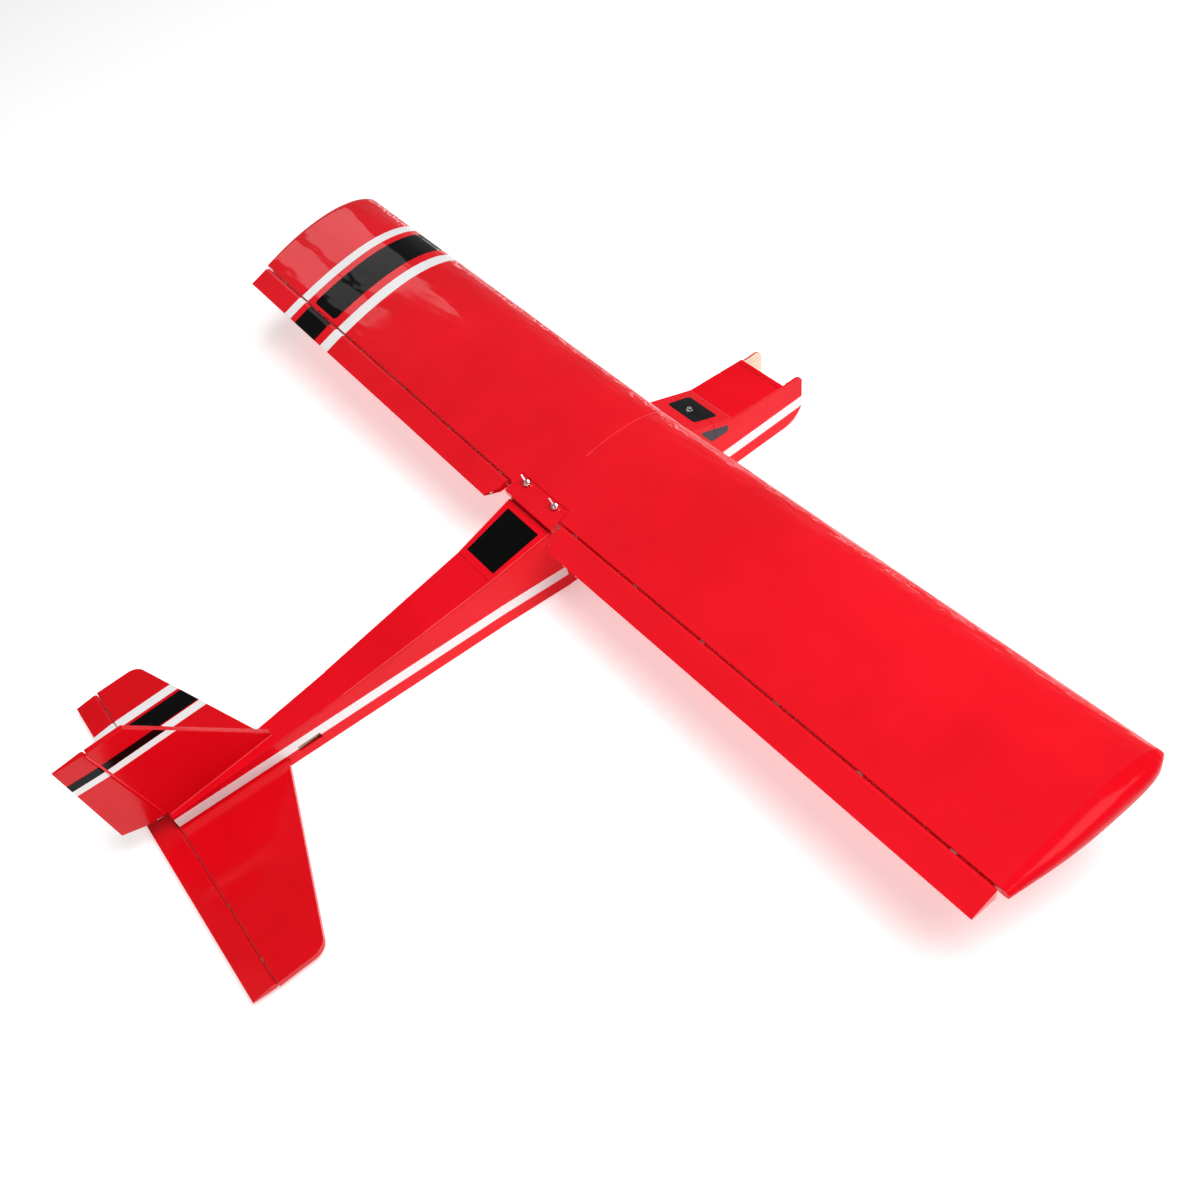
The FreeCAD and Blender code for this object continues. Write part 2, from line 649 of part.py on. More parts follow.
def top_sheet(line, s0, s1, thickness):
    """Sheet that lies across both fuselage sides, with its top along a line of (station, z)."""
    stations = [s0] + [s for s, _ in line if s0 < s < s1] + [s1]
    top = [(s, interpolate(line, s)) for s in stations]
    under = [(s, z - thickness) for s, z in reversed(top)]
    width = max(v for _, v in PLAN) + 1
    band = prism_x(top + under, (-width, width))
    return band.common(prism_z(plan_outline(s0, s1, 0.0), (-1, 200)))


def side_profile():
    """Side view of a fuselage side, as one closed wire at x = 0."""
    gap = GLUE_GAP
    def p(s, z):
        return V(0, s, z)
    def under(line, s):
        return p(s, interpolate(line, s) - DECK_SHEET - gap)
    saddle_rear = PLATE_REAR - 0.7
    hatch_edge = HATCH_REAR + MOVING_GAP
    seam = SEAM_STATION - MOVING_GAP
    line_points = [p(CHEEK_BELLY_STATION, 0), p(TAIL_POST, 0), under(REAR_LINE, TAIL_POST)]
    line_points += [under(REAR_LINE, SAG_STATION), under(REAR_LINE, KINK_STATION)]
    shelf = interpolate(REAR_LINE, DECK_START) - DECK_SHEET
    line_points += [under(REAR_LINE, DECK_START), p(saddle_rear, shelf)]
    line_points += [p(saddle_rear, WING_LE_Z - saddle_rear * SIN_I), p(6.0, WING_LE_Z - 6.0 * SIN_I)]
    edges = [Part.makeLine(a, b) for a, b in zip(line_points, line_points[1:])]
    front = [line_points[-1], p(hatch_edge, WINDSCREEN_TOP - 1.0), p(hatch_edge, HATCH_BOTTOM - MOVING_GAP)]
    front += [p(seam, HATCH_BOTTOM - MOVING_GAP), under(WINDSCREEN_LINE, seam)]
    front += [under(NOSE_LINE, CREASE_STATION), under(NOSE_LINE, FIREWALL_STATION)]
    front += [p(NOSE_STATION + CHEEK_CORNER, CHEEK_TOP)]
    edges += [Part.makeLine(a, b) for a, b in zip(front, front[1:])]
    corner_end = p(NOSE_STATION, CHEEK_TOP - CHEEK_CORNER)
    bow = CHEEK_CORNER * (1 - math.sqrt(0.5))
    corner_mid = p(NOSE_STATION + bow, CHEEK_TOP - bow)
    edges.append(Part.Arc(front[-1], corner_mid, corner_end).toShape())
    chin = p(CHEEK_CHIN_STATION, CHEEK_CHIN_Z)
    edges.append(Part.makeLine(corner_end, chin))
    run = CHEEK_BELLY_STATION - CHEEK_CHIN_STATION
    chin_mid = p(CHEEK_CHIN_STATION + 0.38 * run, 0.25 * CHEEK_CHIN_Z)
    edges.append(Part.Arc(chin, chin_mid, line_points[0]).toShape())
    return Part.Wire(edges)


def fuselage_side(side):
    outer = prism_z(plan_outline(NOSE_STATION - 1, TAIL_POST, 0.0), (-1, 160))
    inner = prism_z(plan_outline(NOSE_STATION - 1, TAIL_POST + 1, WALL), (-2, 161))
    reach = side * (max(v for _, v in PLAN) + 5)
    sheet = Part.Face(side_profile()).extrude(V(reach, 0, 0)).common(outer).cut(inner)
    sheet = sheet.cut(along_wing(nose_section(0.0, PLATE_REAR, -2 * GLUE_GAP), side, 60.0))
    slot_x = sorted((side * 1.0, side * 60.0))
    sheet = sheet.cut(box(slot_x, SLOT_STATIONS, SLOT_HEIGHTS))
    stab = (STAB_TOP - SURFACE_THICKNESS - GLUE_GAP, STAB_TOP + GLUE_GAP)
    sheet = sheet.cut(box(slot_x, (STAB_ROOT_LE - GLUE_GAP, TAIL_POST + 1), stab))
    if side > 0:
        sheet = sheet.cut(box(slot_x, RUDDER_SLOT_STATIONS, RUDDER_SLOT_HEIGHTS))
        sheet = sheet.cut(box(slot_x, *switch_window()))
    return sheet


def switch_window():
    half_s, half_z = SWITCH_WINDOW[0] / 2, SWITCH_WINDOW[1] / 2
    return (SWITCH_STATION - half_s, SWITCH_STATION + half_s), (SWITCH_Z - half_z, SWITCH_Z + half_z)


def bottom_sheet():
    plan = plan_outline(CHEEK_BELLY_STATION + 1, TAIL_POST - GLUE_GAP, WALL + GLUE_GAP)
    return prism_z(plan, (0, WALL)).cut(gear_holes())


def firewall():
    inner = half_width(FIREWALL_STATION) - WALL - GLUE_GAP
    stations = (FIREWALL_STATION, FIREWALL_STATION + FIREWALL_THICKNESS)
    shelf = interpolate(NOSE_LINE, stations[1]) - DECK_SHEET
    wall = box((-inner, inner), stations, (WALL + GLUE_GAP, shelf + GLUE_GAP))
    lip_half = half_width(FIREWALL_STATION)
    lip = box((-lip_half, lip_half), stations, (shelf + GLUE_GAP, FIREWALL_TOP))
    wall = wall.fuse(lip).removeSplitter()
    for x, z in engine_bolts():
        wall = wall.cut(y_hole(x, z, nut_radius() + GLUE_GAP, stations))
    wall = wall.cut(y_hole(0, ENGINE_AXIS_Z, TANK_HOLE_RADIUS, stations))
    return wall.cut(y_hole(THROTTLE_ROD_X, arm_z(), GUIDE_RADIUS + GLUE_GAP, stations))


def y_hole(x, z, radius, stations):
    return rod(V(x, stations[0] - 1, z), V(x, stations[1] + 1, z), radius)


def engine_bolts():
    half_x, half_z = ENGINE_BOLT_X / 2, ENGINE_BOLT_Z / 2
    return [(i * half_x, ENGINE_AXIS_Z + j * half_z) for i in (-1, 1) for j in (-1, 1)]


def nut_radius():
    return ENGINE_HOLE_RADIUS + NUT_WALL


def engine_mount_nuts():
    """Four blind nuts, set from behind, whose threads face forward."""
    nuts = []
    rear = FIREWALL_STATION + FIREWALL_THICKNESS
    for x, z in engine_bolts():
        barrel = rod(V(x, FIREWALL_STATION, z), V(x, rear, z), nut_radius())
        flange = rod(V(x, rear, z), V(x, rear + NUT_FLANGE_THICKNESS, z), nut_radius() + NUT_FLANGE)
        nut = barrel.fuse(flange).cut(y_hole(x, z, ENGINE_HOLE_RADIUS, (FIREWALL_STATION, rear + 2)))
        nuts.append(nut.removeSplitter())
    return group(nuts)


def gear_holes():
    half_x, half_y = GEAR_BOLT_X / 2, GEAR_BOLT_Y / 2
    places = [(i * half_x, GEAR_STATION + j * half_y) for i in (-1, 1) for j in (-1, 1)]
    return [Part.makeCylinder(GEAR_HOLE_RADIUS, 40, V(x, s, -5)) for x, s in places]


def landing_gear_block():
    half_s = GEAR_BOLT_Y / 2 + GEAR_BLOCK_MARGIN
    inner = half_width(GEAR_STATION - half_s) - WALL - GLUE_GAP
    stations = (GEAR_STATION - half_s, GEAR_STATION + half_s)
    return box((-inner, inner), stations, (WALL + GLUE_GAP, WALL + GEAR_BLOCK_HEIGHT)).cut(gear_holes())


def framed_former(stations, z_range, inset, window):
    """Former between the sides with a rectangular window of (half width, z low, z high)."""
    plan = plan_outline(stations[0], stations[1], WALL + inset)
    former = prism_z(plan, z_range)
    half, low, high = window
    return former.cut(box((-half, half), (stations[0] - 1, stations[1] + 1), (low, high)))


def front_former():
    top = surface_z(FRONT_FORMER[0], False) - 3.0
    former = framed_former(FRONT_FORMER, (WALL + GLUE_GAP, top), GLUE_GAP, FRONT_WINDOW)
    hole = y_hole(0, PEG_Z, PEG_RADIUS + GLUE_GAP, FRONT_FORMER)
    return former.cut(hole).cut(throttle_tube_cut())


def rear_former():
    top = interpolate(REAR_LINE, REAR_FORMER[1]) - DECK_SHEET - 2 * GLUE_GAP
    former = framed_former(REAR_FORMER, (WALL + GLUE_GAP, top), GLUE_GAP, REAR_WINDOW)
    return former.cut(guide_tube_cuts())


def tail_formers():
    formers = []
    for middle in TAIL_FORMER_STATIONS:
        stations = (middle - FORMER_THICKNESS / 2, middle + FORMER_THICKNESS / 2)
        top = interpolate(REAR_LINE, stations[1]) - DECK_SHEET - 2 * GLUE_GAP
        window = (TAIL_WINDOW[0], TAIL_WINDOW[1], TAIL_WINDOW[2] * top)
        former = framed_former(stations, (WALL + GLUE_GAP, top), GLUE_GAP, window)
        formers.append(former.cut(guide_tube_cuts()))
    post_top = TAIL_TOP - DECK_SHEET - GLUE_GAP
    post_plan = plan_outline(TAIL_POST - 12, TAIL_POST - GLUE_GAP, WALL + GLUE_GAP)
    post = prism_z(post_plan, (STAB_TOP + GLUE_GAP, post_top))
    return group(formers + [post])


def nose_deck():
    front = FIREWALL_STATION + FIREWALL_THICKNESS + GLUE_GAP
    return top_sheet(NOSE_LINE, front, CREASE_STATION - GLUE_GAP, DECK_SHEET)


def windscreen_panel():
    return top_sheet(WINDSCREEN_LINE, CREASE_STATION, SEAM_STATION - MOVING_GAP / 2, DECK_SHEET)


def hatch_cover():
    """Cap with side cheeks, open below, that continues the windscreen up to the wing."""
    s0, s1 = SEAM_STATION + MOVING_GAP / 2, HATCH_REAR
    side_face = [(s0, HATCH_BOTTOM), (s0, interpolate(WINDSCREEN_LINE, s0))]
    side_face += [(s1, interpolate(WINDSCREEN_LINE, s1)), (s1, HATCH_BOTTOM)]
    width = half_width(s1) + 1
    cap = prism_x(side_face, (-width, width)).common(prism_z(plan_outline(s0, s1, 0.0), (0, 160)))
    ceiling = [(s, interpolate(WINDSCREEN_LINE, s) - HATCH_TOP_THICKNESS) for s in (s0 - 1, s1 + 1)]
    cavity = [(s0 - 1, HATCH_BOTTOM - 1)] + ceiling + [(s1 + 1, HATCH_BOTTOM - 1)]
    inner = half_width(s0) - WALL
    cap = cap.cut(prism_x(cavity, (-inner, inner)))
    return cap.cut(rod(screw_point(-40), screw_point(20), HATCH_SCREW_RADIUS + SHAFT_GAP))


def screw_axis():
    slope = math.atan2(WINDSCREEN_TOP - CREASE_TOP, -CREASE_STATION)
    return V(0, -math.sin(slope), math.cos(slope))


def screw_point(along):
    """Point on the thumb screw's axis, counted up from the windscreen's surface."""
    surface = interpolate(WINDSCREEN_LINE, HATCH_SCREW_STATION)
    return V(0, HATCH_SCREW_STATION, surface) + screw_axis() * along


def hatch_thumb_screw():
    washer = rod(screw_point(0.05), screw_point(HATCH_SCREW_WASHER), HATCH_SCREW_HEAD_RADIUS)
    head = rod(screw_point(HATCH_SCREW_WASHER), screw_point(HATCH_SCREW_TOP), HATCH_SCREW_GRIP_RADIUS)
    wide, long, deep = HATCH_SCREW_SLOT
    groove = Part.makeBox(wide, long, deep, V(-wide / 2, -long / 2, -0.75 * deep))
    groove.rotate(V(0, 0, 0), V(1, 0, 0), math.degrees(math.atan2(-screw_axis().y, screw_axis().z)))
    groove.translate(screw_point(HATCH_SCREW_TOP))
    shank = rod(screw_point(-HATCH_TOP_THICKNESS - 9), screw_point(0.05), HATCH_SCREW_RADIUS)
    return shank.fuse([washer, head]).removeSplitter().cut(groove)


def hatch_crossbar():
    """Hardwood bar under the hatch that takes the thumb screw."""
    inner = half_width(SEAM_STATION - 5) - WALL - 1.0
    top = interpolate(WINDSCREEN_LINE, SEAM_STATION - 6) - HATCH_TOP_THICKNESS - 3.2
    start = SEAM_STATION - 5
    bar = box((-inner, inner), (start, start + CROSSBAR_LENGTH), (top - CROSSBAR_HEIGHT, top))
    return bar.cut(rod(screw_point(-60), screw_point(20), HATCH_SCREW_RADIUS + SHAFT_GAP))


def rear_window_deck():
    return top_sheet(REAR_LINE, DECK_START, KINK_STATION - GLUE_GAP / 2, DECK_SHEET)


def rear_deck():
    return top_sheet(REAR_LINE, KINK_STATION + GLUE_GAP / 2, TAIL_POST, DECK_SHEET)


# ---- tail ----------------------------------------------------------------------------------

def surface_axis_offset():
    return SURFACE_THICKNESS / 2 + HINGE_GAP


def elevator_axis():
    return TAIL_POST + surface_axis_offset(), STAB_TOP - SURFACE_THICKNESS / 2


def stab_hinges():
    s, z = elevator_axis()
    sets = []
    for x in [way * x for x in STAB_HINGE_X for way in (-1, 1)]:
        sets.append(hinge_parts(V(x, s, z), V(1, 0, 0), V(0, 1, 0), V(0, 0, 1), surface_axis_offset()))
    return sets


def rounded_tip_plan(half_span):
    """Right half of the stabiliser's outline, from the root leading edge to the hinge line."""
    lead = V(half_span - STAB_ROOT_X, STAB_TIP_LE - STAB_ROOT_LE, 0).normalize()
    corner = V(half_span, STAB_TIP_LE, 0)
    before = corner - lead * STAB_CORNER
    after = corner + V(0, STAB_CORNER, 0)
    middle = corner * 0.5 + (before + after) * 0.25
    return before, middle, after


def stabiliser():
    before, middle, after = rounded_tip_plan(STAB_HALF_SPAN)
    def flip(v):
        return V(-v.x, v.y, v.z)
    rear = V(STAB_HALF_SPAN, TAIL_POST, 0)
    root = V(STAB_ROOT_X, STAB_ROOT_LE, 0)
    edges = [Part.makeLine(flip(root), root), Part.makeLine(root, before)]
    edges += [Part.Arc(before, middle, after).toShape(), Part.makeLine(after, rear)]
    edges += [Part.makeLine(rear, flip(rear)), Part.makeLine(flip(rear), flip(after))]
    edges += [Part.Arc(flip(after), flip(middle), flip(before)).toShape()]
    edges += [Part.makeLine(flip(before), flip(root))]
    plate = Part.Face(Part.Wire(edges)).extrude(V(0, 0, SURFACE_THICKNESS))
    plate.translate(V(0, 0, STAB_TOP - SURFACE_THICKNESS))
    return plate.cut([fixed for _, _, fixed in stab_hinges()])


def elevator():
    s, z = elevator_axis()
    ends = [V(-ELEVATOR_HALF_SPAN, s, z), V(ELEVATOR_HALF_SPAN, s, z)]
    trailing = [V(e.x, TAIL_POST + ELEVATOR_CHORD, z) for e in ends]
    shape = hinged_surface(ends, trailing, V(0, 0, 1), SURFACE_THICKNESS / 2, TAIL_TE_HALF)
    shape = shape.cut([moving for _, moving, _ in stab_hinges()])
    return shape.cut(horn_screws(elevator_horn_screws(), GLUE_GAP))


def rake_line(z):
    """Station of the fin's rear edge at a height."""
    return TAIL_POST + HINGE_RAKE * (z - TAIL_TOP) / (FIN_TOP - TAIL_TOP)


def rake_axis():
    return V(0, HINGE_RAKE, FIN_TOP - TAIL_TOP).normalize()


def rudder_axis_point(z):
    axis = rake_axis()
    return V(0, rake_line(z), z) + V(0, axis.z, -axis.y) * surface_axis_offset()


def fin_hinges():
    axis = rake_axis()
    aft = V(0, axis.z, -axis.y)
    points = [rudder_axis_point(z) for z in FIN_HINGE_Z]
    return [hinge_parts(point, axis, aft, V(1, 0, 0), surface_axis_offset()) for point in points]


def fin():
    root = interpolate(REAR_LINE, FIN_LE) + GLUE_GAP
    outline = [(FIN_LE, root), (TAIL_POST, TAIL_TOP + GLUE_GAP)]
    outline += [(rake_line(FIN_TOP), FIN_TOP), (FIN_TOP_LE, FIN_TOP)]
    plate = prism_x(outline, (-SURFACE_THICKNESS / 2, SURFACE_THICKNESS / 2))
    return plate.cut([fixed for _, _, fixed in fin_hinges()])


def rudder():
    low, high = 20.0, FIN_TOP + 20.0
    def trailing(z):
        top, bottom = RUDDER_TOP_TE, TAIL_POST + RUDDER_BOTTOM_CHORD
        return V(0, bottom + (top - bottom) * (z - RUDDER_HEEL_Z) / (FIN_TOP - RUDDER_HEEL_Z), z)
    axis_points = [rudder_axis_point(low), rudder_axis_point(high)]
    te_points = [trailing(low), trailing(high)]
    shape = hinged_surface(axis_points, te_points, V(1, 0, 0), SURFACE_THICKNESS / 2, TAIL_TE_HALF)
    heel = TAIL_POST + RUDDER_BOTTOM_CHORD
    outline = [(TAIL_POST - 10, RUDDER_BOTTOM), (TAIL_POST, RUDDER_BOTTOM), RUDDER_KNEE]
    outline += [(heel, RUDDER_HEEL_Z), (heel + 20, RUDDER_HEEL_Z + 2)]
    outline += [(heel + 40, FIN_TOP), (TAIL_POST - 10, FIN_TOP)]
    shape = shape.common(prism_x(outline, (-20, 20)))
    shape = shape.cut([moving for _, moving, _ in fin_hinges()])
    return shape.cut(horn_screws(rudder_horn_screws(), GLUE_GAP))


# ---- control horns -------------------------------------------------------------------------

def elevator_horn_x():
    """Middle of the elevator horn's arm, beside the pushrod's eye."""
    return ELEVATOR_HORN_X + HORN_PIN_LENGTH / 2 + 1.5


def horn_screws(ends, extra):
    return [rod(a, b, HORN_SCREW_RADIUS + extra) for a, b in ends]


def elevator_horn_screws():
    s, z = elevator_axis()
    half = SURFACE_THICKNESS / 2
    s += HORN_SCREW_PLACE
    places = [elevator_horn_x() + way * HORN_SCREW_PITCH / 2 for way in (-1, 1)]
    return [(V(x, s, z - half + HORN_SCREW_BLIND), V(x, s, z + half)) for x in places]


def rudder_horn_screws():
    point = rudder_axis_point(RUDDER_HORN_Z)
    half = SURFACE_THICKNESS / 2
    s = point.y + HORN_SCREW_PLACE
    heights = [point.z + way * HORN_SCREW_PITCH / 2 for way in (-1, 1)]
    return [(V(-half + HORN_SCREW_BLIND, s, z), V(half, s, z)) for z in heights]


def horn_shape(place, pin_centre, pin_axis, screws):
    """Foot on the surface, arm up to the pin, and the two screws through the surface.

    place maps (across, aft, up) to a point, with aft counted from the hinge axis."""
    half = HORN_THICKNESS / 2
    seat = SURFACE_THICKNESS / 2 + HORN_SEAT_GAP
    up = (place(0, 0, 1) - place(0, 0, 0)).normalize()
    foot = polygon_face([place(across, aft, seat) for across, aft in HORN_FOOT])
    shape = foot.extrude(up * HORN_FOOT_THICKNESS)
    reach = (pin_centre - place(0, 0, 0)).dot(up)
    side_view = [(5, seat), (13, seat), (3, reach + 3), (-3, reach + 3), (-3, reach - 3)]
    arm = polygon_face([place(-half, aft, rise) for aft, rise in side_view])
    shape = shape.fuse(arm.extrude(place(half, 0, 0) - place(-half, 0, 0)))
    unit = V(pin_axis).normalize()
    shape = shape.fuse(rod(pin_centre - unit * half, pin_centre + unit * HORN_PIN_LENGTH, HORN_PIN_RADIUS))
    return shape.fuse(horn_screws(screws, 0.0)).removeSplitter()


def elevator_horn():
    s, z = elevator_axis()
    def place(across, aft, up):
        return V(elevator_horn_x() - across, s + aft, z + up)
    return horn_shape(place, place(0, 0, ELEVATOR_HORN_RADIUS), V(-1, 0, 0), elevator_horn_screws())


def rudder_horn():
    point = rudder_axis_point(RUDDER_HORN_Z)
    axis = rake_axis()
    aft_way = V(0, axis.z, -axis.y)
    def place(across, aft, up):
        return point + axis * across + aft_way * aft + V(1, 0, 0) * up
    return horn_shape(place, place(0, 0, RUDDER_HORN_RADIUS), axis, rudder_horn_screws())


# ---- radio gear ----------------------------------------------------------------------------

def arm_z():
    """Height of the tail and throttle servo arms."""
    return servo_top() + SERVO_SPLINE_HEIGHT


def servo_top():
    return TRAY_Z + TRAY_THICKNESS + SERVO_LUG_THICKNESS + SERVO_LUG_DROP


def servo(x, station, top, way):
    """Servo with its lugs and output spline; way is 1 with the output up, -1 with it down."""
    half_x, half_s = SERVO_SIZE[0] / 2, SERVO_SIZE[1] / 2
    def z_range(a, b):
        return sorted((top + way * a, top + way * b))
    stations = (station - half_s, station + half_s)
    body = box((x - half_x, x + half_x), stations, z_range(-SERVO_SIZE[2], 0))
    long = (stations[0] - SERVO_LUG, stations[1] + SERVO_LUG)
    lug_z = z_range(-SERVO_LUG_DROP - SERVO_LUG_THICKNESS, -SERVO_LUG_DROP)
    lugs = box((x - half_x + 1, x + half_x - 1), long, lug_z)
    for s in (long[0] + 3.5, long[1] - 3.5):
        for dx in (-5, 5):
            lugs = lugs.cut(Part.makeCylinder(1.2, 10, V(x + dx, s, lug_z[0] - 4)))
    spline_z = z_range(0, SERVO_SPLINE_HEIGHT + ARM_THICKNESS + 0.6)
    place = V(x, station - SERVO_SHAFT_OFFSET, spline_z[0])
    output = Part.makeCylinder(SERVO_SPLINE_RADIUS, spline_z[1] - spline_z[0], place)
    return body.fuse([lugs, output]).removeSplitter()


def servo_arm(x, station, z, way, radius, reaches):
    """Arm on a servo's output, with an oversize hole at the end of each reach."""
    s = station - SERVO_SHAFT_OFFSET
    base = z if way > 0 else z - ARM_THICKNESS
    def disc(px, r, grow=0.0):
        return Part.makeCylinder(r, ARM_THICKNESS + 2 * grow, V(px, s, base - grow))
    arm = disc(x, 5.5)
    for reach in reaches:
        end = x + reach * radius
        bar = box(sorted((x, end)), (s - 3.2, s + 3.2), (base, base + ARM_THICKNESS))
        arm = arm.fuse([bar, disc(end, ARM_BOSS_RADIUS)])
    arm = arm.removeSplitter()
    for reach in reaches:
        arm = arm.cut(disc(x + reach * radius, ARM_HOLE_RADIUS, 1.0))
    return arm.cut(disc(x, SERVO_SPLINE_RADIUS + SHAFT_GAP, 1.0))


def servo_tray():
    inner = half_width(TRAY_STATIONS[0]) - WALL - GLUE_GAP
    tray = box((-inner, inner), TRAY_STATIONS, (TRAY_Z, TRAY_Z + TRAY_THICKNESS))
    half_x, half_s = SERVO_SIZE[0] / 2 + GLUE_GAP, SERVO_SIZE[1] / 2 + GLUE_GAP
    for k in (-1, 0, 1):
        x = k * SERVO_X_PITCH
        stations = (TAIL_SERVO_STATION - half_s, TAIL_SERVO_STATION + half_s)
        tray = tray.cut(box((x - half_x, x + half_x), stations, (0, 100)))
    return tray


def tail_arm_station():
    return TAIL_SERVO_STATION - SERVO_SHAFT_OFFSET


def pin_top():
    return arm_z() + ARM_THICKNESS + 2.5


def run_z():
    """Height of the pushrods where they leave the servo arms."""
    return arm_z() - WIRE_RADIUS - 0.6


def elevator_pushrod_path():
    x, s = SERVO_X_PITCH - TAIL_ARM_RADIUS, tail_arm_station()
    slot_mid = sum(SLOT_STATIONS) / 2
    low = sum(SLOT_HEIGHTS) / 2 + 1.8
    hs, hz = elevator_axis()
    return [V(x, s, pin_top()), V(x, s, run_z()), V(x, slot_mid - 11, low),
            V(ELEVATOR_HORN_X, slot_mid + 5, low),
            V(ELEVATOR_HORN_X, hs - EYE_RADIUS - EYE_WALL / 2, hz + ELEVATOR_HORN_RADIUS)]


def rudder_pushrod_path():
    x, s = -TAIL_ARM_RADIUS, tail_arm_station()
    slot_mid = sum(RUDDER_SLOT_STATIONS) / 2
    low = sum(RUDDER_SLOT_HEIGHTS) / 2
    pin = rudder_axis_point(RUDDER_HORN_Z)
    end_z = RUDDER_HORN_Z + HORN_PIN_LENGTH / 2 + 1.2
    return [V(x, s, pin_top()), V(x, s, run_z()), V(7.0, slot_mid - 10, low),
            V(RUDDER_HORN_RADIUS, slot_mid + 6, low), V(RUDDER_HORN_RADIUS, pin.y - 14, end_z),
            V(RUDDER_HORN_RADIUS, pin.y - EYE_RADIUS - EYE_WALL / 2, end_z)]


def elevator_pushrod():
    hs, hz = elevator_axis()
    centre = V(ELEVATOR_HORN_X, hs, hz + ELEVATOR_HORN_RADIUS)
    eye = ring(centre, V(1, 0, 0), EYE_RADIUS, EYE_WALL, EYE_THICKNESS)
    return bent_wire(elevator_pushrod_path(), WIRE_RADIUS).fuse(eye).removeSplitter()


def rudder_pushrod():
    path = rudder_pushrod_path()
    pin = rudder_axis_point(path[-1].z)
    centre = V(RUDDER_HORN_RADIUS, pin.y, path[-1].z)
    eye = ring(centre, rake_axis(), EYE_RADIUS + 0.3, EYE_WALL, EYE_THICKNESS)
    return bent_wire(path, WIRE_RADIUS).fuse(eye).removeSplitter()


def throttle_pushrod_path():
    x, s = -SERVO_X_PITCH - THROTTLE_ARM_RADIUS, tail_arm_station()
    front = FIREWALL_STATION - 12
    return [V(x, s, pin_top()), V(x, s, run_z()), V(x, s - 30, arm_z()), V(THROTTLE_ROD_X, front, arm_z()),
            V(THROTTLE_ROD_X, front, arm_z() + 6)]


def throttle_pushrod():
    return bent_wire(throttle_pushrod_path(), WIRE_RADIUS)


def guide_runs():
    """Start and end of each guide tube, on the pushrods' long straight runs."""
    runs = []
    ends = (SLOT_STATIONS[0] - GUIDE_SHORT, RUDDER_SLOT_STATIONS[0] - 25.0)
    for path, end in zip((elevator_pushrod_path(), rudder_pushrod_path()), ends):
        a, b = path[1], path[2]
        runs.append([a + (b - a) * ((s - a.y) / (b.y - a.y)) for s in (GUIDE_START, end)])
    z = arm_z()
    runs.append([V(THROTTLE_ROD_X, FIREWALL_STATION - 2, z), V(THROTTLE_ROD_X, 30.0, z)])
    return runs


def guide_tubes():
    return group([rod(a, b, GUIDE_RADIUS).cut(rod(a, b, GUIDE_BORE)) for a, b in guide_runs()])


def guide_tube_cuts():
    return [rod(a, b, GUIDE_RADIUS + GLUE_GAP) for a, b in guide_runs()[:2]]


def throttle_tube_cut():
    a, b = guide_runs()[2]
    return rod(a, b, GUIDE_RADIUS + GLUE_GAP)


def aileron_pushrod(side):
    """Wire from the aileron servo's arm back to an eye round the torque rod's foot."""
    x = side * AILERON_ARM_RADIUS
    z = aileron_rod_z()
    s0 = AILERON_SERVO_STATION - SERVO_SHAFT_OFFSET
    _, axis_point, _, _ = aileron_frame(side)
    pin_z = AILERON_SERVO_TOP - SERVO_SPLINE_HEIGHT + 2.0
    points = [V(x, s0, pin_z), V(x, s0, z), V(x, axis_point.y - EYE_RADIUS - EYE_WALL / 2, z)]
    eye = ring(V(x, axis_point.y, z), V(0, 0, 1), EYE_RADIUS + 0.2, EYE_WALL, EYE_THICKNESS)
    return bent_wire(points, WIRE_RADIUS).fuse(eye).removeSplitter()


def rounded_box(x_range, s_range, z_range, radius):
    shape = box(x_range, s_range, z_range)
    return shape.makeFillet(radius, shape.Edges)


def fuel_tank():
    tank = rounded_box(*TANK_BOX, TANK_ROUNDING)
    front = TANK_BOX[1][0]
    neck = rod(V(0, front - 4.5, ENGINE_AXIS_Z), V(0, front + 4, ENGINE_AXIS_Z), TANK_NECK_RADIUS)
    z = ENGINE_AXIS_Z + 2
    pipes = [rod(V(x, front - 12, z), V(x, front - 2, z), TANK_PIPE_RADIUS) for x in (-4, 4)]
    return tank.fuse([neck] + pipes).removeSplitter()


def battery_pack():
    s0, s1 = BATTERY_STATIONS
    ends = [(V(x, s0, BATTERY_Z), V(x, s1, BATTERY_Z)) for x in BATTERY_CELLS]
    cells = [rod(a, b, BATTERY_CELL_RADIUS) for a, b in ends]
    wrap = box((-21, 21), (s0 + 1, s1 - 1), (BATTERY_Z - 5.5, BATTERY_Z + 5.5))
    return cells[0].fuse(cells[1:] + [wrap]).removeSplitter()


def receiver():
    return rounded_box(*RECEIVER_BOX, 2.0)


def power_switch():
    """Switch body inside the port side, with its face plate outside."""
    wall_in = half_width(SWITCH_STATION) - WALL - 0.3
    (s0, s1), (z0, z1) = switch_window()
    lug = box((wall_in - SWITCH_DEPTH, wall_in - 0.4), (s0 - 6, s1 + 6), (z0 - 1, z1 + 1))
    throat = box((wall_in - 1, wall_in + 1.6), (s0 + 0.6, s1 - 0.6), (z0 + 0.6, z1 - 0.6))
    half_s, half_z = SWITCH_SLOT[0] / 2, SWITCH_SLOT[1] / 2
    stations = (SWITCH_STATION - half_s, SWITCH_STATION + half_s)
    travel = box((wall_in - 6, wall_in + 4), stations, (SWITCH_Z - half_z, SWITCH_Z + half_z))
    return lug.fuse(throat).removeSplitter().cut(travel)


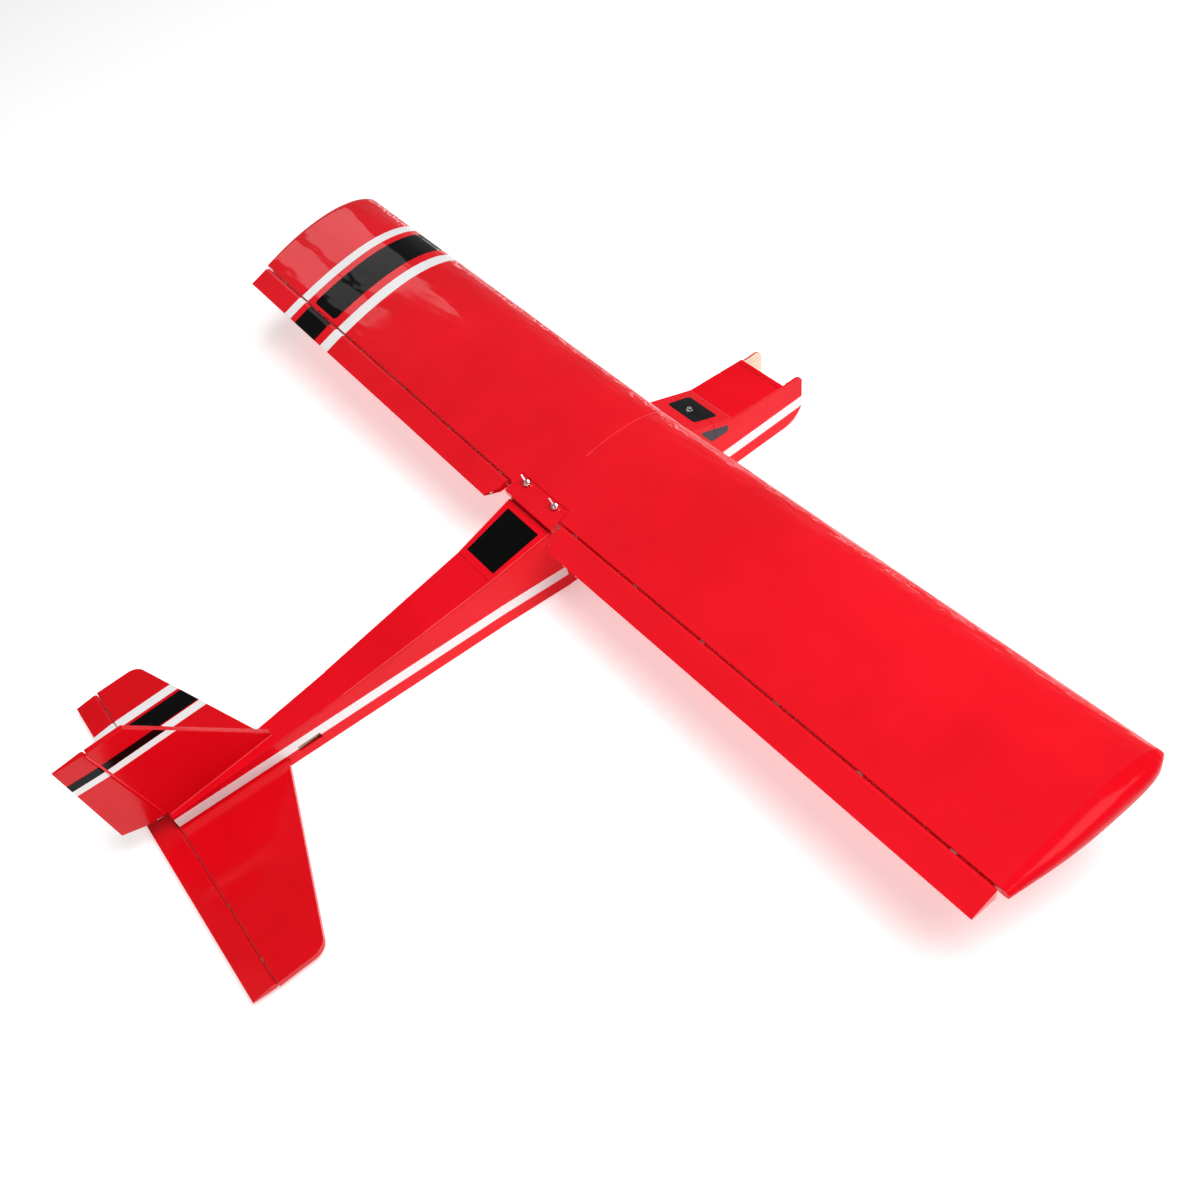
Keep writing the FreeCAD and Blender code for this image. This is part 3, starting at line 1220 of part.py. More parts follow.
def switch_slider():
    wall_in = half_width(SWITCH_STATION) - WALL - 0.3
    start = SWITCH_STATION - SWITCH_SLOT[0] / 2 + MOVING_GAP
    length = SWITCH_SLOT[0] - SWITCH_TRAVEL - 2 * MOVING_GAP
    half_z = SWITCH_SLOT[1] / 2 - MOVING_GAP
    z_range = (SWITCH_Z - half_z, SWITCH_Z + half_z)
    return box((wall_in - 5, wall_in + WALL - 0.2), (start, start + length), z_range)


# ---- the whole part ------------------------------------------------------------------------

def build_wing():
    ribs, spars, leaves = [], [], []
    for name, side in SIDES.items():
        save("wing_skin_" + name, wing_skin(side))
        save("wing_tip_" + name, wing_tip(side))
        save("aileron_" + name, aileron(side))
        save("aileron_torque_rod_" + name, torque_rod(side))
        save("aileron_pushrod_" + name, aileron_pushrod(side))
        save("wing_bolt_" + name, butterfly_bolt(side))
        ribs += wing_ribs(side)
        spars.append(wing_spar(side))
        leaves += [leaf for leaf, _, _ in wing_hinges(side)]
    save("wing_ribs", group(ribs))
    save("wing_spars", group(spars))
    save("aileron_hinges", group(leaves))
    save("dihedral_brace", dihedral_brace())
    save("wing_centre_plate", centre_plate())
    save("wing_peg", wing_peg())
    save("aileron_servo", servo(0.0, AILERON_SERVO_STATION, AILERON_SERVO_TOP, -1))
    arm_base = AILERON_SERVO_TOP - SERVO_SPLINE_HEIGHT
    arm = servo_arm(0.0, AILERON_SERVO_STATION, arm_base, -1, AILERON_ARM_RADIUS, (-1, 1))
    save("aileron_servo_arm", arm)


def build_fuselage():
    for name, side in SIDES.items():
        save("fuselage_side_" + name, fuselage_side(side))
    save("bottom_sheet", bottom_sheet())
    save("nose_deck", nose_deck())
    save("windscreen_panel", windscreen_panel())
    save("hatch_cover", hatch_cover())
    save("hatch_thumb_screw", hatch_thumb_screw())
    save("hatch_crossbar", hatch_crossbar())
    save("firewall", firewall())
    save("engine_mount_nuts", engine_mount_nuts())
    save("front_former", front_former())
    save("rear_former", rear_former())
    save("tail_formers", tail_formers())
    save("rear_window_deck", rear_window_deck())
    save("rear_deck", rear_deck())
    save("wing_bolt_blocks", wing_bolt_blocks())
    save("landing_gear_block", landing_gear_block())


def build_tail():
    save("stabiliser", stabiliser())
    save("elevator", elevator())
    save("fin", fin())
    save("rudder", rudder())
    save("elevator_horn", elevator_horn())
    save("rudder_horn", rudder_horn())
    save("tail_hinges", group([leaf for leaf, _, _ in stab_hinges() + fin_hinges()]))


def build_radio():
    servos = (("throttle", -1, THROTTLE_ARM_RADIUS), ("rudder", 0, TAIL_ARM_RADIUS),
              ("elevator", 1, TAIL_ARM_RADIUS))
    for name, column, radius in servos:
        x = column * SERVO_X_PITCH
        save(name + "_servo", servo(x, TAIL_SERVO_STATION, servo_top(), 1))
        save(name + "_servo_arm", servo_arm(x, TAIL_SERVO_STATION, arm_z(), 1, radius, (-1,)))
    save("servo_tray", servo_tray())
    save("elevator_pushrod", elevator_pushrod())
    save("rudder_pushrod", rudder_pushrod())
    save("throttle_pushrod", throttle_pushrod())
    save("pushrod_guide_tubes", guide_tubes())
    save("fuel_tank", fuel_tank())
    save("battery_pack", battery_pack())
    save("receiver", receiver())
    save("power_switch", power_switch())
    save("switch_slider", switch_slider())


os.makedirs("parts", exist_ok=True)
build_wing()
build_fuselage()
build_tail()
build_radio()
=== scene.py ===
"""Looks of a film-covered radio-controlled trainer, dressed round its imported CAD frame.

The covering, trim strips, window film, joints and small fittings are built here as thin pieces
that ride on the CAD bodies. Everything is in metres: +X is the port wing, -Y the nose, +Z up.
"""
import logging
import math
from dataclasses import dataclass
from enum import Enum

import bmesh
import bpy
from mathutils import Matrix, Vector

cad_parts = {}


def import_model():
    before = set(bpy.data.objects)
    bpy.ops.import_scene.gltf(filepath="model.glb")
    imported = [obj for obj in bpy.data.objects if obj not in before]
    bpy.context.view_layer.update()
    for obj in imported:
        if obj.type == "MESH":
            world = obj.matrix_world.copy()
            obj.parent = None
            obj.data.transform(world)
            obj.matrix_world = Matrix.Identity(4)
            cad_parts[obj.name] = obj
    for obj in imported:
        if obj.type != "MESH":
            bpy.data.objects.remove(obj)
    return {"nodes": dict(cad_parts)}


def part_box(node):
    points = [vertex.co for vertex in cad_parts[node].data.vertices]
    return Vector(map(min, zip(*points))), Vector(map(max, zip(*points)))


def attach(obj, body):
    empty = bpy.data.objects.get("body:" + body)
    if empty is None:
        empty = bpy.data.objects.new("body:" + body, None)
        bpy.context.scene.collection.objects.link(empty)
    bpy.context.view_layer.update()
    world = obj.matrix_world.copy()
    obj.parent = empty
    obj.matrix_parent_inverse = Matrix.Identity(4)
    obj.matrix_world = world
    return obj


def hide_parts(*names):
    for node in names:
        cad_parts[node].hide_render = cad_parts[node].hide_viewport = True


LOG = logging.getLogger("trainer")
MM = 0.001
NOSE_TO_LE = 330.9  # millimetres from the frame's origin forward to the wing's leading edge

Colour = tuple[float, float, float]
Point = tuple[float, float, float]
Span = tuple[float, float]


def along(station: float) -> float:
    """Y in metres of a station counted in millimetres aft of the wing's leading edge."""
    return (station - NOSE_TO_LE) * MM


class Axis(Enum):
    """The axis that an outline is cut along."""

    X = 0
    Z = 2


class Side(Enum):
    """Port or starboard, as the sign of X."""

    PORT = 1.0
    STARBOARD = -1.0

    @property
    def hand(self) -> str:
        """This side's word in the names of nodes and pieces."""
        return "left" if self is Side.PORT else "right"

    @property
    def out(self) -> Vector:
        """The direction away from the centre line."""
        return Vector((self.value, 0.0, 0.0))


class Marked(Enum):
    """The faces that take a second finish, with the least cosine to their direction."""

    INNER = 0.5
    ENDS = 0.8

    def holds(self, face: bmesh.types.BMFace) -> bool:
        """Tells whether a face is one of them.

        Args:
            face: a face with an up-to-date normal.

        Returns:
            True for a face that looks at the centre line, or fore or aft.
        """
        if self is Marked.ENDS:
            return abs(face.normal.y) > self.value
        inward = -math.copysign(1.0, face.calc_center_median().x)
        return face.normal.x * inward > self.value


# ---------------------------------------------------------------------------------- shader tools


class Wire:
    """A number socket that adds Math nodes when sums are done on it."""

    def __init__(self, nodes: "Nodes", socket: bpy.types.NodeSocket) -> None:
        """Keeps the socket and the node tree that it belongs to."""
        self.nodes = nodes
        self.socket = socket

    def _sum(self, operation: str, first: "Wire | float", second: "Wire | float") -> "Wire":
        """Adds one Math node.

        Args:
            operation: the Math node's operation.
            first: its first value.
            second: its second value.

        Returns:
            The node's result.
        """
        return self.nodes.add(
            "ShaderNodeMath", {"operation": operation}, {0: first, 1: second}, "Value"
        )

    def __add__(self, other: "Wire | float") -> "Wire":
        """Self plus other."""
        return self._sum("ADD", self, other)

    def __radd__(self, other: float) -> "Wire":
        """Other plus self."""
        return self._sum("ADD", other, self)

    def __sub__(self, other: "Wire | float") -> "Wire":
        """Self minus other."""
        return self._sum("SUBTRACT", self, other)

    def __rsub__(self, other: float) -> "Wire":
        """Other minus self."""
        return self._sum("SUBTRACT", other, self)

    def __mul__(self, other: "Wire | float") -> "Wire":
        """Self times other."""
        return self._sum("MULTIPLY", self, other)

    def __rmul__(self, other: float) -> "Wire":
        """Other times self."""
        return self._sum("MULTIPLY", other, self)


class Nodes:
    """A node tree, filled through one method."""

    def __init__(self, tree: bpy.types.NodeTree) -> None:
        """Empties the tree."""
        self.tree = tree
        self.tree.nodes.clear()

    def put(self, node: bpy.types.Node, key: str | int, value: object) -> None:
        """Sets or links one input socket.

        Args:
            node: the node that owns the socket.
            key: the socket's name or number.
            value: a Wire to link, or a number, colour or vector to set.
        """
        if isinstance(value, Wire):
            self.tree.links.new(value.socket, node.inputs[key])
        elif isinstance(value, tuple) and node.inputs[key].type == "RGBA":
            node.inputs[key].default_value = (*value, 1.0)
        else:
            node.inputs[key].default_value = value

    def add(self, kind: str, settings: dict, inputs: dict, out: str | int | None = 0) -> Wire | None:
        """Adds any node.

        Args:
            kind: the node's type.
            settings: its own settings, set first; "stops" fills a ramp.
            inputs: its sockets' values or links, by name or number.
            out: the output socket to return, or None for a node that ends the tree.

        Returns:
            The chosen output.
        """
        node = self.tree.nodes.new(kind)
        for key, value in settings.items():
            if key == "stops":
                ramp = node.color_ramp.elements
                while len(ramp) < len(value):
                    ramp.new(1.0)
                for stop, (place, colour) in zip(ramp, value):
                    stop.position = place
                    stop.color = (*colour, 1.0)
            else:
                setattr(node, key, value)
        for key, value in inputs.items():
            self.put(node, key, value)
        return None if out is None else Wire(self, node.outputs[out])

    def axis(self, where: Wire, name: str) -> Wire:
        """One coordinate of a vector, by its name X, Y or Z."""
        return self.add("ShaderNodeSeparateXYZ", {}, {0: where}, name)


class Shader(Nodes):
    """One material's nodes, which end in a Principled shader."""

    def __init__(self, name: str) -> None:
        """Starts an empty material of that name."""
        self.material = bpy.data.materials.new(name)
        self.material.use_nodes = True
        super().__init__(self.material.node_tree)

    def place(self, stretch: Point = (1.0, 1.0, 1.0), turn: Point = (0.0, 0.0, 0.0)) -> Wire:
        """Object coordinates, scaled and turned.

        Args:
            stretch: the scale along X, Y and Z.
            turn: the angles about X, Y and Z.

        Returns:
            The mapped vector.
        """
        here = self.add("ShaderNodeTexCoord", {}, {}, "Object")
        inputs = {"Vector": here, "Scale": stretch, "Rotation": turn}
        return self.add("ShaderNodeMapping", {}, inputs)

    def noise(self, where: Wire, scale: float, detail: float = 2.0, rough: float = 0.5) -> Wire:
        """A noise texture's strength at a place."""
        inputs = {"Vector": where, "Scale": scale, "Detail": detail, "Roughness": rough}
        return self.add("ShaderNodeTexNoise", {}, inputs, "Fac")

    def steps(self, value: Wire, low: float, high: float) -> Wire:
        """A smooth step of value from 0 at low to 1 at high."""
        inputs = {"Value": value, "From Min": low, "From Max": high}
        return self.add("ShaderNodeMapRange", {"interpolation_type": "SMOOTHSTEP"}, inputs, "Result")

    def mix(self, share: Wire | float, first: "Colour | Wire", second: "Colour | Wire") -> Wire:
        """A colour mixed from two.

        Args:
            share: how much of the second.
            first: the first colour.
            second: the second colour.

        Returns:
            The mixed colour.
        """
        factor, colour_a, colour_b, result = 0, 6, 7, 2
        inputs = {factor: share, colour_a: first, colour_b: second}
        return self.add("ShaderNodeMix", {"data_type": "RGBA"}, inputs, result)

    def bump(self, height: Wire, distance: float, onto: Wire | None = None) -> Wire:
        """A normal that follows a height.

        Args:
            height: the height, from 0 to 1.
            distance: what a height of 1 stands for, in metres.
            onto: the normal that it is added to.

        Returns:
            The new normal.
        """
        inputs = {"Height": height, "Distance": distance, "Strength": 1.0}
        if onto is not None:
            inputs["Normal"] = onto
        return self.add("ShaderNodeBump", {}, inputs, "Normal")

    def done(self, **sockets: object) -> bpy.types.Material:
        """Ends the tree in a Principled shader.

        Args:
            sockets: values or links by socket name, with _ for a space.

        Returns:
            The finished material.
        """
        inputs = {key.replace("_", " "): value for key, value in sockets.items()}
        surface = self.add("ShaderNodeBsdfPrincipled", {}, inputs, "BSDF")
        self.add("ShaderNodeOutputMaterial", {}, {"Surface": surface}, None)
        return self.material


# -------------------------------------------------------------------------------------- finishes

NOISE_SWING = 8.0  # noise keeps near its middle, so a wave needs a bump this much deeper
CREASE_START, CREASE_END = 4.0, 62.0  # stations between which the wrinkles fade out, in millimetres
FILM_PORES = 0.000004
GRAIN_DEPTH = 0.0002
SCRATCH_DEPTH = 0.00002
PLASTIC_IOR = 1.5
MOULDED_IOR = 1.49


@dataclass(frozen=True)
class Film:
    """Iron-on covering film, stretched over wood.

    colour and shade are its own tones, ripple and crease the heights in metres of its long waves
    and of the short wrinkles near a leading edge, stretch the waves' scale along each axis, gloss
    its roughness and shine the strength of its reflections.
    """

    name: str
    colour: Colour
    shade: Colour
    ripple: float = 0.00012
    crease: float = 0.0
    stretch: Point = (1.0, 2.0, 2.0)
    gloss: float = 0.16
    shine: float = 0.5

    def make(self) -> bpy.types.Material:
        """Builds the material.

        Returns:
            The material.
        """
        shader = Shader(self.name)
        here = shader.place()
        waves = shader.noise(shader.place(self.stretch), scale=9.0, rough=0.45)
        pores = shader.noise(here, scale=420.0, rough=0.6)
        tone = shader.noise(here, scale=6.0, detail=3.0, rough=0.6)
        haze = shader.noise(here, scale=30.0, detail=3.0)
        normal = shader.bump(waves, self.ripple * NOISE_SWING)
        if self.crease:
            front = shader.steps(shader.axis(here, "Y"), along(CREASE_END), along(CREASE_START))
            slanted = shader.place(stretch=(5.0, 17.0, 17.0), turn=(0.0, 0.0, 0.35))
            wrinkle = shader.noise(slanted, scale=3.2, detail=3.0)
            normal = shader.bump(wrinkle * front, self.crease * NOISE_SWING, normal)
        normal = shader.bump(pores, FILM_PORES, normal)
        return shader.done(
            Base_Color=shader.mix(shader.steps(tone, 0.3, 0.75), self.colour, self.shade),
            Roughness=self.gloss + 0.04 * haze,
            Normal=normal,
            Specular_IOR_Level=self.shine,
            IOR=PLASTIC_IOR,
        )


@dataclass(frozen=True)
class Wood:
    """Bare balsa or plywood, with its grain along one axis."""

    name: str
    pale: Colour
    dark: Colour
    stretch: Point = (30.0, 1.5, 30.0)
    rough: float = 0.62

    def make(self) -> bpy.types.Material:
        """Builds the material.

        Returns:
            The material.
        """
        shader = Shader(self.name)
        grain = shader.noise(shader.place(self.stretch), scale=9.0, detail=5.0, rough=0.62)
        fleck = shader.noise(shader.place(tuple(4.0 * s for s in self.stretch)), scale=14.0)
        streak = shader.steps(grain * 0.75 + fleck * 0.25, 0.36, 0.66)
        return shader.done(
            Base_Color=shader.mix(streak, self.pale, self.dark),
            Roughness=self.rough + 0.15 * fleck,
            Normal=shader.bump(grain * 0.6 + fleck * 0.4, GRAIN_DEPTH),
        )


@dataclass(frozen=True)
class Metal:
    """Plated, drawn or rolled metal with fine scratches and tarnish."""

    name: str
    bright: Colour
    dull: Colour
    rough: float = 0.22
    stretch: Point = (1.0, 1.0, 1.0)

    def make(self) -> bpy.types.Material:
        """Builds the material.

        Returns:
            The material.
        """
        shader = Shader(self.name)
        scratch = shader.noise(shader.place(self.stretch), scale=900.0, detail=3.0, rough=0.6)
        cloud = shader.noise(shader.place(), scale=160.0, detail=4.0, rough=0.6)
        tarnish = shader.steps(cloud, 0.42, 0.72)
        return shader.done(
            Base_Color=shader.mix(tarnish, self.bright, self.dull),
            Roughness=self.rough + 0.18 * scratch,
            Metallic=1.0,
            Normal=shader.bump(scratch, SCRATCH_DEPTH),
        )


@dataclass(frozen=True)
class Plastic:
    """Moulded plastic with a fine spark-eroded texture."""

    name: str
    colour: Colour
    shade: Colour
    rough: float = 0.42
    grain: float = 0.00002
    through: float = 0.0

    def make(self) -> bpy.types.Material:
        """Builds the material.

        Returns:
            The material.
        """
        shader = Shader(self.name)
        pores = shader.noise(shader.place(), scale=1400.0, rough=0.6)
        cloud = shader.noise(shader.place(), scale=60.0, detail=3.0, rough=0.6)
        return shader.done(
            Base_Color=shader.mix(cloud, self.colour, self.shade),
            Roughness=self.rough + 0.12 * pores,
            Normal=shader.bump(pores, self.grain),
            Transmission_Weight=self.through,
            IOR=MOULDED_IOR,
        )


RED = (0.80, 0.0045, 0.014)
RED_SHADE = (0.70, 0.003, 0.010)
# The tail's red is darker than the wing's: painted shade for the dimmer light that the tail gets.
SHADED_TAIL_RED, SHADED_TAIL_RED_SHADE = (0.70, 0.0028, 0.009), (0.62, 0.0020, 0.006)
CROSSWAYS = (0.7, 3.0, 3.0)
WING_FILM = Film("wing_red_film", RED, RED_SHADE, 0.00018, 0.00034, CROSSWAYS, 0.045)
CAP_FILM = Film("starboard_cap_film", RED, RED_SHADE, 0.00018, 0.00034, CROSSWAYS, 0.14, 0.05)
BODY_FILM = Film("body_red_film", RED, RED_SHADE, 0.00008, 0.0, (3.0, 1.0, 3.0), 0.12, 0.16)
TAIL_FILM = Film(
    "tail_red_film_painted_shade", SHADED_TAIL_RED, SHADED_TAIL_RED_SHADE, 0.00010, 0.0, (2.0, 2.0, 2.0), gloss=0.12, shine=0.3
)
# Lighter, pinker red for the raised laps, the crease strip and the beads: a painted highlight for
# the light that their edges catch.
LAP_HIGHLIGHT_FILM = Film("red_film_overlap_painted_highlight", (0.86, 0.06, 0.07), (0.80, 0.03, 0.04), 0.00004)
# Dark red for the nose lip lap: painted shade for the dark line at the lap's edge.
LIP_SHADE_FILM = Film("nose_lip_painted_shade_film", (0.46, 0.002, 0.006), (0.38, 0.0015, 0.004), 0.00002)
# Red brighter than the covering for the hinge-gap seals: painted light that lifts the shade in the
# gaps.
HINGE_GAP_LIGHT_FILM = Film("hinge_gap_painted_light_film", (0.86, 0.006, 0.016), (0.80, 0.004, 0.012), 0.00002)
# Near-black for the fore and aft ends of the windscreen panel and hatch: painted shade for the dark
# line of the seam between them.
SEAM_SHADE_FILM = Film(
    "seam_painted_shade_film", (0.06, 0.001, 0.002), (0.04, 0.0008, 0.0015), 0.00002, gloss=0.4, shine=0.1
)
WHITE_FILM = Film("white_film", (0.86, 0.85, 0.85), (0.80, 0.79, 0.79), 0.00010)
BLACK_FILM = Film(
    "black_film",
    (0.0012, 0.0012, 0.0014),
    (0.0024, 0.0024, 0.0028),
    0.00016,
    stretch=(1.0, 3.0, 3.0),
    gloss=0.04,
    shine=0.20,
)
SMOKE_FILM = Film(
    "smoke_window_film",
    (0.016, 0.017, 0.026),
    (0.024, 0.025, 0.036),
    0.00005,
    gloss=0.12,
    shine=0.4,
)
PALE_PLYWOOD = Wood("pale_plywood_face", (0.94, 0.88, 0.68), (0.86, 0.78, 0.56))
PLYWOOD = Wood("plywood_face", (0.72, 0.55, 0.35), (0.52, 0.36, 0.20))
BALSA = Wood("balsa", (0.84, 0.72, 0.52), (0.70, 0.56, 0.37), (40.0, 40.0, 2.0))
PLATED = Metal("plated_steel", (0.80, 0.80, 0.80), (0.50, 0.49, 0.47), 0.16)
WIRE = Metal("piano_wire", (0.56, 0.56, 0.57), (0.34, 0.33, 0.32), 0.28, (1.0, 0.05, 1.0))
HINGE_METAL = Metal("hinge_metal", (0.62, 0.55, 0.45), (0.36, 0.30, 0.22), 0.30)
BLACK_PLASTIC = Plastic("black_servo_case", (0.018, 0.018, 0.020), (0.028, 0.028, 0.030))
NYLON = Plastic("white_nylon", (0.80, 0.80, 0.76), (0.72, 0.72, 0.67), 0.36)
TANK = Plastic("milky_tank", (0.80, 0.80, 0.72), (0.70, 0.70, 0.60), 0.30, 0.00001, 0.35)
RUBBER = Plastic("rubber_grommet", (0.012, 0.012, 0.012), (0.02, 0.02, 0.02), 0.7)
LEAD_BROWN = Plastic("brown_lead", (0.09, 0.035, 0.015), (0.07, 0.025, 0.01), 0.45)
LEAD_RED = Plastic("red_lead", (0.5, 0.02, 0.015), (0.4, 0.015, 0.01), 0.45)
LEAD_ORANGE = Plastic("orange_lead", (0.75, 0.25, 0.02), (0.65, 0.2, 0.015), 0.45)
SLEEVE = Plastic("blue_battery_sleeve", (0.010, 0.055, 0.30), (0.008, 0.040, 0.22), 0.20, 0.0001)


Finish = Film | Wood | Metal | Plastic


class Stores:
    """Hands out each finish's material, built once."""

    def __init__(self) -> None:
        """Starts with an empty shelf."""
        self.shelf: dict[str, bpy.types.Material] = {}

    def get(self, finish: Finish) -> bpy.types.Material:
        """Gives a finish's material.

        Args:
            finish: the finish.

        Returns:
            Its material, built at the first call.
        """
        if finish.name not in self.shelf:
            self.shelf[finish.name] = finish.make()
        return self.shelf[finish.name]


STORES = Stores()


# ------------------------------------------------------------------------------------ mesh tools


@dataclass(frozen=True)
class Outline:
    """A convex outline with round corners, cut straight through along one axis.

    corners are pairs in metres: (x, y) when cut along Z, and (y, z) when cut along X.
    """

    corners: tuple[Span, ...]
    axis: Axis
    radius: float = 0.0
    facets: int = 6

    def lift(self, u: float, v: float) -> Vector:
        """A pair as a point or direction in space."""
        return Vector((u, v, 0.0)) if self.axis is Axis.Z else Vector((0.0, u, v))

    def planes(self) -> list[tuple[Vector, Vector]]:
        """The cutting planes.

        Returns:
            Each plane as a point and the direction that is cut away.
        """
        points = [self.lift(*pair) for pair in self.corners]
        middle = sum(points, Vector()) / len(points)
        through = self.lift(1.0, 0.0).cross(self.lift(0.0, 1.0))
        normals = []
        for here, there in zip(points, points[1:] + points[:1]):
            normal = (there - here).cross(through).normalized()
            normals.append(normal if (here - middle).dot(normal) > 0.0 else -normal)
        made = list(zip(points, normals))
        if self.radius:
            for point, before, after in zip(points, normals[-1:] + normals[:-1], normals):
                centre = point - (before + after) * self.radius / (1.0 + before.dot(after))
                for step in range(1, self.facets):
                    normal = before.slerp(after, step / self.facets)
                    made.append((centre + normal * self.radius, normal))
        return made


def oblong(first: Span, second: Span, axis: Axis, radius: float = 0.0) -> Outline:
    """A four-sided outline.

    Args:
        first: its extent along the first coordinate.
        second: its extent along the second coordinate.
        axis: the axis that it is cut along.
        radius: the radius of its corners.

    Returns:
        The outline.
    """
    (a, b), (c, d) = first, second
    return Outline(((a, c), (b, c), (b, d), (a, d)), axis, radius)


WELD = 2e-6
CUT_MARGIN = 1e-7
FLAT = 0.04  # degrees: two faces under this angle are one


class Bench:
    """Bmesh work on one new piece."""

    def __init__(self) -> None:
        """Starts with an empty mesh."""
        self.bm = bmesh.new()

    @classmethod
    def copy(cls, *nodes: str) -> "Bench":
        """A bench that holds a welded copy of some CAD nodes.

        Args:
            nodes: the CAD nodes' names.

        Returns:
            The bench.
        """
        bench = cls()
        for node in nodes:
            bench.bm.from_mesh(bpy.data.objects[node].data)
        bmesh.ops.remove_doubles(bench.bm, verts=bench.bm.verts, dist=WELD)
        return bench

    def everything(self) -> list:
        """All vertices, edges and faces."""
        return [*self.bm.verts, *self.bm.edges, *self.bm.faces]

    def trim(self, outline: Outline) -> "Bench":
        """Cuts away what lies outside an outline.

        Args:
            outline: the outline.

        Returns:
            The same bench.
        """
        for point, normal in outline.planes():
            bmesh.ops.bisect_plane(
                self.bm,
                geom=self.everything(),
                dist=CUT_MARGIN,
                plane_co=point,
                plane_no=normal,
                clear_outer=True,
            )
        return self

    def facing(self, direction: Vector, least: float = 0.35) -> "Bench":
        """Keeps only the faces that look along a direction.

        Args:
            direction: the direction to look along.
            least: the smallest cosine that is kept.

        Returns:
            The same bench.
        """
        self.bm.normal_update()
        away = [f for f in self.bm.faces if f.normal.dot(direction) < least]
        bmesh.ops.delete(self.bm, geom=away, context="FACES")
        return self

    def outermost(self, direction: Vector) -> "Bench":
        """Keeps only the joined patch of faces that lies furthest along a direction.

        Args:
            direction: the direction.

        Returns:
            The same bench.
        """
        left, best, reach = set(self.bm.faces), [], -math.inf
        while left:
            island, queue = set(), [left.pop()]
            while queue:
                face = queue.pop()
                island.add(face)
                near = {f for e in face.edges for f in e.link_faces} & left
                left -= near
                queue.extend(near)
            mean = sum(f.calc_center_median().dot(direction) for f in island) / len(island)
            if mean > reach:
                best, reach = island, mean
        away = [f for f in self.bm.faces if f not in best]
        bmesh.ops.delete(self.bm, geom=away, context="FACES")
        return self

    def thicken(self, height: float) -> "Bench":
        """Gives a patch of faces a body.

        Args:
            height: how far it stands proud.

        Returns:
            The same bench.
        """
        bmesh.ops.solidify(self.bm, geom=list(self.bm.faces), thickness=-height)
        bmesh.ops.recalc_face_normals(self.bm, faces=list(self.bm.faces))
        return self

    def soften(self, width: float, steps: int = 2, sharp: float = 35.0) -> "Bench":
        """Rounds the long sharp edges of a solid.

        Args:
            width: the round's width.
            steps: its segments.
            sharp: the smallest angle in degrees that is rounded.

        Returns:
            The same bench.
        """
        bmesh.ops.dissolve_limit(
            self.bm, angle_limit=math.radians(FLAT), verts=self.bm.verts, edges=self.bm.edges
        )
        edges = [
            e
            for e in self.bm.edges
            if len(e.link_faces) == 2 and e.calc_face_angle() > math.radians(sharp)
        ]
        bmesh.ops.bevel(
            self.bm,
            geom=edges,
            offset=width,
            offset_type="OFFSET",
            segments=steps,
            profile=0.5,
            affect="EDGES",
            clamp_overlap=True,
            material=-1,
        )
        return self

    def mark(self, marked: Marked) -> "Bench":
        """Gives the second finish to some of the faces.

        Args:
            marked: which faces.

        Returns:
            The same bench.
        """
        self.bm.normal_update()
        for face in self.bm.faces:
            face.material_index = int(marked.holds(face))
        return self

    def block(self, low: Point, high: Point) -> "Bench":
        """Adds a square block.

        Args:
            low: its lowest corner in metres.
            high: its highest corner in metres.

        Returns:
            The same bench.
        """
        made = bmesh.ops.create_cube(self.bm, size=1.0)["verts"]
        size = Vector(high) - Vector(low)
        bmesh.ops.scale(self.bm, verts=made, vec=size)
        bmesh.ops.translate(self.bm, verts=made, vec=(Vector(high) + Vector(low)) / 2.0)
        return self

    def rod(self, start: Vector, end: Vector, radius: float, sides: int = 12) -> "Bench":
        """Adds a round rod.

        Args:
            start: the middle of one end.
            end: the middle of the other end.
            radius: its radius.
            sides: the number of its sides.

        Returns:
            The same bench.
        """
        run = Vector(end) - Vector(start)
        place = Matrix.Translation((Vector(start) + Vector(end)) / 2.0)
        place @= run.to_track_quat("Z", "Y").to_matrix().to_4x4()
        bmesh.ops.create_cone(
            self.bm,
            cap_ends=True,
            segments=sides,
            radius1=radius,
            radius2=radius,
            depth=run.length,
            matrix=place,
        )
        return self

    def piece(
        self,
        name: str,
        body: str,
        finish: Finish,
        slot: str | None = None,
        replaces: tuple[str, ...] = (),
        second: Finish | None = None,
        round_below: float = 32.0,
        even: bool = False,
    ) -> bpy.types.Object:
        """Turns the bench into a finished piece that rides on a body.

        Args:
            name: the piece's name.
            body: the CAD body that it rides on.
            finish: its finish.
            slot: the record's material slot, where it has one; not used.
            replaces: the CAD nodes that it stands for.
            second: the finish of the marked faces.
            round_below: edges under this angle in degrees are shaded smooth.
            even: whether flat faces keep their own direction beside rounded edges.

        Returns:
            The new object.
        """
        mesh = bpy.data.meshes.new(name)
        self.bm.to_mesh(mesh)
        self.bm.free()
        for face in mesh.polygons:
            face.use_smooth = True
        mesh.set_sharp_from_angle(angle=math.radians(round_below))
        for one in (finish, second):
            if one:
                mesh.materials.append(STORES.get(one))
        made = bpy.data.objects.new(name, mesh)
        bpy.context.scene.collection.objects.link(made)
        if even:
            made.modifiers.new("even_shading", "WEIGHTED_NORMAL").keep_sharp = True
        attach(made, body)
        if replaces:
            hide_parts(*replaces)
        LOG.info("piece %s on %s, %d faces", name, body, len(mesh.polygons))
        return made


UP = Vector((0.0, 0.0, 1.0))
FILM_HEIGHT = 0.00015


def trim_strip(
    name: str, node: str, body: str, outline: Outline, finish: Film, direction: Vector
) -> bpy.types.Object:
    """A strip of film laid on a CAD node's surface.

    Args:
        name: the strip's name.
        node: the CAD node that it lies on.
        body: the body that it rides on.
        outline: its outline.
        finish: its finish.
        direction: the side of the node that it lies on.

    Returns:
        The new piece.
    """
    bench = Bench.copy(node).trim(outline).facing(direction).outermost(direction)
    return bench.thicken(FILM_HEIGHT).piece(name, body, finish)


